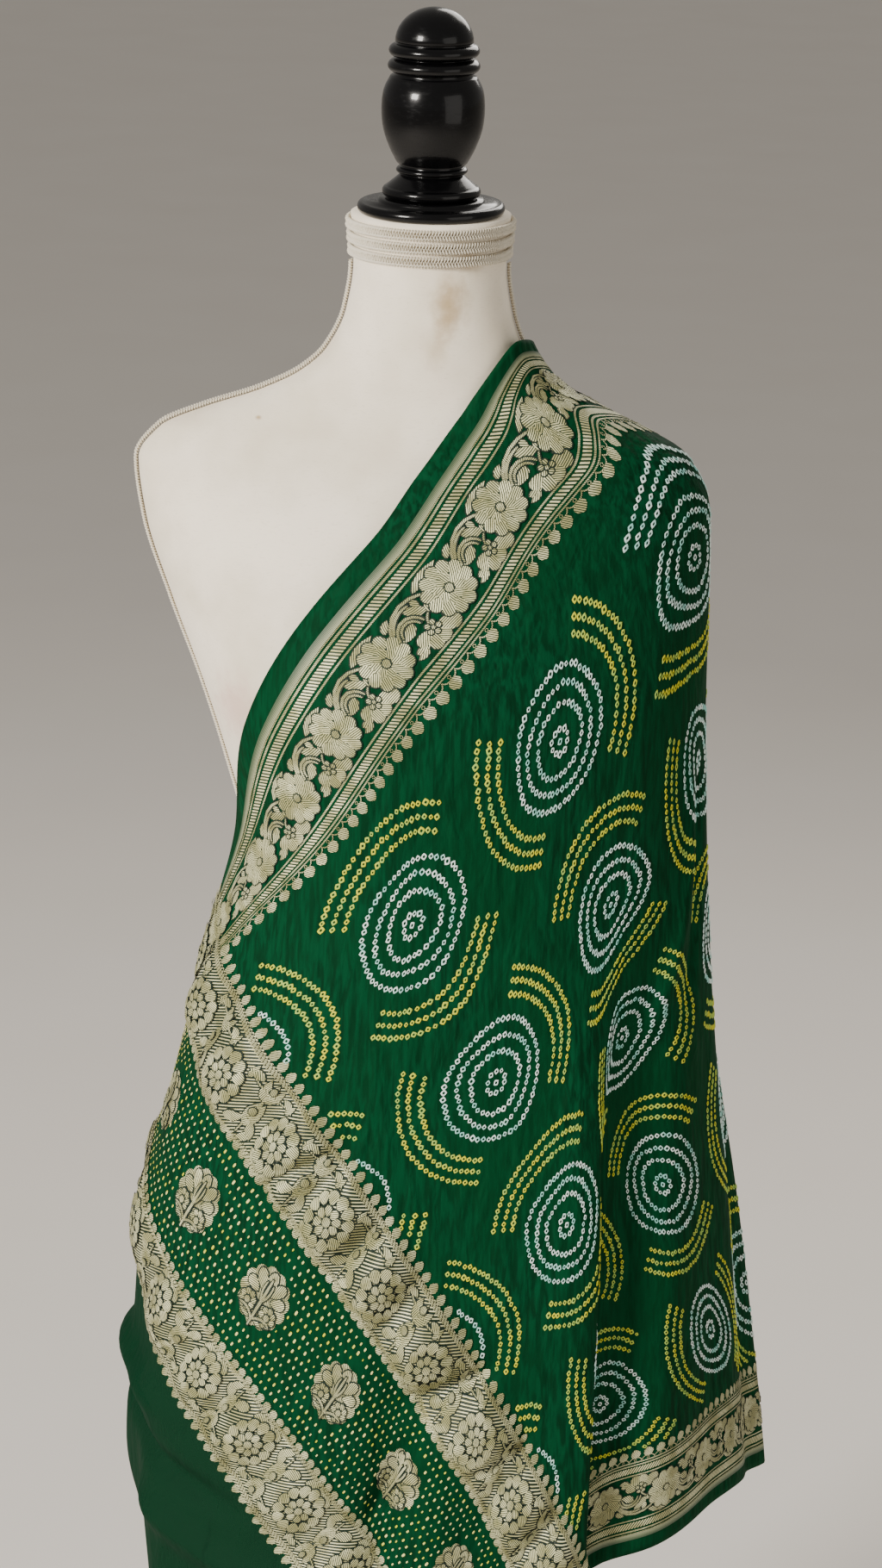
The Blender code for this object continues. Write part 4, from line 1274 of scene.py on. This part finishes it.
def dots_on_arc(random, u, v, radius, first, span):
    """Evenly pitched places on an arc round a flat place, each a little off, with its own size and turn."""
    count = max(1, int(round(np.radians(span) * radius / DOT_PITCH)))
    angle = np.radians(first + span * (np.arange(count) + 0.5) / count)
    off = random.normal(0, 0.00035, (2, count))
    wobble = 1 + 0.022 * np.sin(3 * angle + first) + 0.012 * np.sin(5 * angle)
    du, dv = radius * wobble * np.cos(angle), radius * wobble * np.sin(angle)
    size = DOT_RADIUS * random.normal(1.0, 0.10, count).clip(0.75, 1.25)
    return np.stack([u + du + off[0], v + dv + off[1], size, angle + random.normal(0, 0.15, count)], axis=1)


def ring_patches(dots, hole, steps):
    """Each dot is a squarish ring of grid faces, highest at its middle line."""
    inside = ((dots[:, 0] > FIELD_BAND[1] + FIELD_EDGE) & (dots[:, 0] < CLOTH_LENGTH - 0.004)
              & (dots[:, 1] > BORDER + FIELD_EDGE) & (dots[:, 1] < CLOTH_WIDTH - BORDER - FIELD_EDGE))
    u, v, size, turn = (dots[inside, k][:, None, None] for k in range(4))
    angle = np.linspace(0, 2 * np.pi, steps + 1)[None, :, None]
    out = np.array([hole, (1 + hole) / 2, 1.0])[None, None, :]
    radius = size * out * (1 + 0.10 * np.cos(4 * angle))
    rise = ON_TOP + np.array([0.0001, 0.00055, 0.0])[None, None, :] + 0 * radius
    du, dv = radius * np.cos(angle + turn), radius * np.sin(angle + turn)
    flat = np.stack([(out - hole) / (1 - hole) + 0 * radius, angle + 0 * radius], axis=-1)
    return SURFACE.at(u + du, v + dv, rise), flat


def lattice():
    """The circles' places: column and row of the lattice, then u and v."""
    for i in range(LATTICE_COUNT[0]):
        for j in range(LATTICE_COUNT[1]):
            yield i, j, LATTICE_START[0] + (i - 1) * LATTICE_PITCH, LATTICE_START[1] + j * LATTICE_PITCH


def make_circles(settings):
    """White tied dots: four circles round a single dot at each place of the lattice."""
    random = np.random.default_rng(7)
    dots = []
    for _, _, u, v in lattice():
        for radius in CIRCLE_RADII:
            dots.append(dots_on_arc(random, u, v, radius, random.uniform(0, 360), 360.0))
        dots.append(np.array([[u, v, DOT_RADIUS * 1.1, 0.0]]))
    points, flat = ring_patches(np.concatenate(dots), DOT_HOLE, RING_STEPS)
    dye = tied_dye(settings, "white_ties", settings.white_dot, settings.pale_dot)
    return patch_mesh("tied_circles", [(points, flat, 0)], [dye])


def make_arcs(settings):
    """Yellow tied dots: three arcs on two sides of each circle, turned by a quarter from place to place."""
    random = np.random.default_rng(11)
    dots = ([], [])
    for i, j, u, v in lattice():
        for middle in ((0, 180) if (i + j) % 2 == 0 else (90, 270)):
            for radius in ARC_RADII:
                arc = dots_on_arc(random, u, v, radius, middle - ARC_SPAN / 2, ARC_SPAN)
                dots[(i, j, middle) == PALE_ARCS].append(arc)
    rings = [ring_patches(np.concatenate(some), DOT_HOLE * 0.8, RING_STEPS) for some in dots]
    batches = [(*ring, kind) for kind, ring in enumerate(rings)]
    dyes = [tied_dye(settings, "yellow_ties", settings.yellow_dot, settings.lime_dot),
            tied_dye(settings, "pale_ties", settings.white_dot, settings.pale_dot)]
    return patch_mesh("tied_arcs", batches, dyes)


def make_loose_dots(settings):
    """Small solid dots in offset rows between the two bands, left out under the sprigs."""
    random = np.random.default_rng(5)
    rows = np.arange(END_BAND[1] + 0.006, FIELD_BAND[0] - 0.003, LOOSE_PITCH[0])
    across = np.arange(0.012, CLOTH_WIDTH - 0.010, LOOSE_PITCH[1])
    u, v = np.meshgrid(rows, across, indexing="ij")
    v = v + (np.arange(len(rows)) % 2)[:, None] * LOOSE_PITCH[1] / 2
    u, v = u.ravel(), v.ravel()
    sprig = (v - SPRIG_START) / SPRIG_PITCH
    sprig = sprig - np.round(sprig)
    clear = np.hypot((u - SPRIG_LINE) / 0.0265, sprig * SPRIG_PITCH / 0.0265) > 1
    u, v = (x[clear] + random.normal(0, 0.0004, clear.sum()) for x in (u, v))
    size = LOOSE_DOT * random.normal(1, 0.15, len(u)).clip(0.6, 1.3)
    side = np.linspace(-1, 1, 3)
    a, b = np.meshgrid(side, -side, indexing="ij")
    a, b = a * (1 - 0.2 * np.abs(b)), b * (1 - 0.2 * np.abs(a))
    du, dv = size[:, None, None] * 1.25 * a, size[:, None, None] * 0.85 * b
    rise = ON_TOP + 0.0004 * (1 - (a ** 2 + b ** 2) / 2) + 0 * du
    points = SURFACE.at(u[:, None, None] + du, v[:, None, None] + dv, rise)
    flat = np.stack([0.5 + 0 * du, 0 * du], axis=-1)
    dye = tied_dye(settings, "loose_ties", settings.loose_dot, settings.yellow_dot)
    return patch_mesh("loose_dots", [(points, flat, 0)], [dye])


# The photograph's view
CAMERA_PLACE = (0.0160, -2.8, 2.004)
CAMERA_PITCH = 18.09
CAMERA_ROLL = 1.3
FOCAL_PIXELS = 4690.0
PICTURE_HEIGHT = 1820.0
SENSOR = 36.0
LIGHT_ROWS = (
    # name, place, size, power, aimed at height
    ("key_light", (-2.3, -2.4, 2.7), 0.9, 225.0, 1.1),
    ("fill_light", (2.4, -2.2, 1.7), 2.4, 24.0, 1.0),
    ("back_light", (0.9, 2.2, 2.6), 1.4, 34.0, 1.1),
)
FLOOR_SECOND = "#E9E4DD"
SKY_COLOUR = "#F3EEE6"


def aim(place, target):
    """The turn that points an object's -Z from a place to a target, its +Y kept up."""
    back = np.array(place) - np.array(target)
    back = back / np.linalg.norm(back)
    right = np.cross((0, 0, 1), back)
    right = right / np.linalg.norm(right)
    return frame_matrix(place, right, np.cross(back, right), back)


def frame_matrix(place, right, up, back):
    """A matrix from a place and three directions."""
    columns = [(*right, 0), (*up, 0), (*back, 0), (*place, 1)]
    return Matrix(columns).transposed()


def make_camera():
    """The camera looks along +Y, pitched down and rolled a little."""
    pitch, roll = np.radians(CAMERA_PITCH), np.radians(CAMERA_ROLL)
    forward = np.array([0, np.cos(pitch), -np.sin(pitch)])
    side = np.array([1.0, 0, 0])
    upward = np.array([0, np.sin(pitch), np.cos(pitch)])
    right = np.cos(roll) * side + np.sin(roll) * upward
    up = -np.sin(roll) * side + np.cos(roll) * upward
    data = bpy.data.cameras.new("photo_view")
    data.sensor_width = SENSOR
    data.lens = FOCAL_PIXELS * SENSOR / PICTURE_HEIGHT
    camera = bpy.data.objects.new("photo_view", data)
    camera.matrix_world = frame_matrix(CAMERA_PLACE, right, up, -forward)
    bpy.context.scene.collection.objects.link(camera)
    bpy.context.scene.camera = camera


def make_stage(settings):
    """A plain pale floor that reaches past the view, soft lamps and an even pale sky."""
    half = settings.floor_reach
    corners = np.array([[[-half, -half, 0], [-half, half, 0]], [[half, -half, 0], [half, half, 0]]], float)
    mesh = bpy.data.meshes.new("floor")
    mesh.from_pydata([tuple(p) for p in corners.reshape(-1, 3)], [], [(0, 2, 3, 1)])
    floor = bpy.data.objects.new("floor", mesh)
    bpy.context.scene.collection.objects.link(floor)
    made, tree, shader = new_material("pale_floor")
    grain = noise(tree, form_place(tree), per_mm(300.0))
    wire(tree, shader, colour=blend_colours(tree, grain, rgba(settings.floor), rgba(FLOOR_SECOND)))
    shader.inputs["Roughness"].default_value = 0.9
    mesh.materials.append(made)
    for name, place, size, power, height in LIGHT_ROWS:
        data = bpy.data.lights.new(name, "AREA")
        data.size = size
        data.color = tuple(settings.light_colour)
        data.energy = power * settings.light_power
        lamp = bpy.data.objects.new(name, data)
        lamp.matrix_world = aim(place, (0, 0, height))
        bpy.context.scene.collection.objects.link(lamp)
    world = bpy.data.worlds.new("pale_sky")
    world.use_nodes = True
    sky = world.node_tree.nodes["Background"]
    sky.inputs["Color"].default_value = rgba(SKY_COLOUR)
    sky.inputs["Strength"].default_value = settings.sky_power
    bpy.context.scene.world = world


def colour_property(name, description, colour):
    """A colour setting whose default is an sRGB hex value."""
    return bpy.props.FloatVectorProperty(name=name, description=description, subtype="COLOR",
                                         min=0.0, max=1.0, default=linear(colour))


class ClothSettings(bpy.types.PropertyGroup):
    """Colours of the cloth, its metal thread and its dots."""
    green: colour_property("Green", "Dyed georgette", "#00361B")
    # Painted shade in the crinkles' hollows, and also the deep green of the woven shapes' outlines
    deep_green_and_crinkle_shade: colour_property("Deep green", "Georgette in the crinkles' hollows", "#001E0F")
    # Painted highlight on the crinkles' ridges
    green_ridge_highlight: colour_property("Light green", "Georgette on the crinkles' ridges", "#004529")
    green_sheer: colour_property("Sheer green", "The plain end, where light comes through", "#052E1B")
    plain_cover: bpy.props.FloatProperty(name="Plain end cover", description="How much the sheer end hides",
                                         default=0.94, min=0.0, max=1.0, subtype="FACTOR")
    zari: colour_property("Metal thread", "Bright rows of metal thread", "#F1EFBE")
    # Partly wear, partly painted sheen: duller thread in random patches
    zari_shade: colour_property("Metal thread, dull", "Worn or turned metal thread", "#B7B27C")
    zari_gap: colour_property("Thread gap", "Weft between the rows of metal thread", "#0C2C14")
    white_dot: colour_property("White dot", "Tied dots of the circles", "#E4F4EE")
    pale_dot: colour_property("Pale dot", "Circles where the green has run", "#8ED2C6")
    yellow_dot: colour_property("Yellow dot", "Tied dots of the arcs", "#CBC81C")
    lime_dot: colour_property("Lime dot", "Arcs where the green has run", "#9BBE52")
    loose_dot: colour_property("Loose dot", "Small dots between the bands", "#E2DC8C")


class FormSettings(bpy.types.PropertyGroup):
    """Colours of the dress form."""
    linen: colour_property("Linen", "The form's cover", "#FBF0DC")
    linen_shade: colour_property("Linen shade", "Thicker threads and handled places", "#DACDB4")
    braid: colour_property("Braid", "Ridges of the plaited trim", "#FAF4E6")
    # Painted shade in the plait's hollows
    braid_shade: colour_property("Braid shade", "Hollows of the plaited trim", "#B3A78C")
    lacquer: colour_property("Lacquer", "Knob, plate and stand", "#050506")


class StageSettings(bpy.types.PropertyGroup):
    """Floor and light."""
    floor: colour_property("Floor", "Plain floor", "#E4DED6")
    light_colour: colour_property("Light colour", "A little warm, as studio lamps are", "#FFFAF3")
    floor_reach: bpy.props.FloatProperty(name="Floor reach", description="Half the floor's width",
                                         default=30.0, min=5.0, unit="LENGTH")
    light_power: bpy.props.FloatProperty(name="Light power", description="Scales every lamp", default=1.0,
                                         min=0.0, subtype="FACTOR")
    sky_power: bpy.props.FloatProperty(name="Sky power", description="Strength of the even light",
                                       default=0.38, min=0.0)


class BANDHANI_OT_cloth(bpy.types.Operator):
    """Hangs the green sheet in its folds"""
    bl_idname = "bandhani.cloth"
    bl_label = "Hang the cloth"

    def execute(self, context):
        piece = make_cloth(context.scene.bandhani_cloth)
        return {"FINISHED"}


class BANDHANI_OT_weave(bpy.types.Operator):
    """Weaves the borders, the cross bands and the sprigs"""
    bl_idname = "bandhani.weave"
    bl_label = "Weave borders and bands"

    def execute(self, context):
        settings = context.scene.bandhani_cloth
        make_borders(settings)
        make_bands(settings)
        make_sprigs(settings)
        return {"FINISHED"}


class BANDHANI_OT_dots(bpy.types.Operator):
    """Ties the circles, the arcs and the small dots"""
    bl_idname = "bandhani.dots"
    bl_label = "Tie the dots"

    def execute(self, context):
        settings = context.scene.bandhani_cloth
        make_circles(settings)
        make_arcs(settings)
        make_loose_dots(settings)
        return {"FINISHED"}


class BANDHANI_OT_form(bpy.types.Operator):
    """Covers the form and finishes its trim, knob and stand"""
    bl_idname = "bandhani.form"
    bl_label = "Finish the form"

    def execute(self, context):
        settings = context.scene.bandhani_form
        make_torso(settings)
        make_neck_braid(settings)
        make_side_braid(settings, "left_side_trim", "side_braid_left", -1.0)
        make_side_braid(settings, "right_side_trim", "side_braid_right", 1.0)
        make_finial(settings, make_neck_disc(settings))
        finish_stand(settings)
        return {"FINISHED"}


class BANDHANI_OT_stage(bpy.types.Operator):
    """Sets the floor, the light and the camera"""
    bl_idname = "bandhani.stage"
    bl_label = "Set the stage"

    def execute(self, context):
        make_stage(context.scene.bandhani_stage)
        make_camera()
        return {"FINISHED"}


OPERATORS = (BANDHANI_OT_form, BANDHANI_OT_weave, BANDHANI_OT_dots, BANDHANI_OT_cloth, BANDHANI_OT_stage)


class BANDHANI_PT_panel(bpy.types.Panel):
    """Lists the settings and the steps in order"""
    bl_idname = "BANDHANI_PT_panel"
    bl_label = "Bandhani cloth"
    bl_space_type = "VIEW_3D"
    bl_region_type = "UI"
    bl_category = "Bandhani"

    def draw(self, context):
        scene = context.scene
        for group in (scene.bandhani_cloth, scene.bandhani_form, scene.bandhani_stage):
            box = self.layout.box()
            for name in type(group).__annotations__:
                box.prop(group, name)
        for operator in OPERATORS:
            self.layout.operator(operator.bl_idname)


CLASSES = (ClothSettings, FormSettings, StageSettings, *OPERATORS, BANDHANI_PT_panel)


def register():
    for made in CLASSES:
        bpy.utils.register_class(made)
    bpy.types.Scene.bandhani_cloth = bpy.props.PointerProperty(type=ClothSettings)
    bpy.types.Scene.bandhani_form = bpy.props.PointerProperty(type=FormSettings)
    bpy.types.Scene.bandhani_stage = bpy.props.PointerProperty(type=StageSettings)


def unregister():
    del bpy.types.Scene.bandhani_stage
    del bpy.types.Scene.bandhani_form
    del bpy.types.Scene.bandhani_cloth
    for made in reversed(CLASSES):
        bpy.utils.unregister_class(made)


def main():
    register()
    bpy.ops.bandhani.form()
    bpy.ops.bandhani.weave()
    bpy.ops.bandhani.dots()
    bpy.ops.bandhani.cloth()
    bpy.ops.bandhani.stage()


if __name__ == "__main__":
    main()
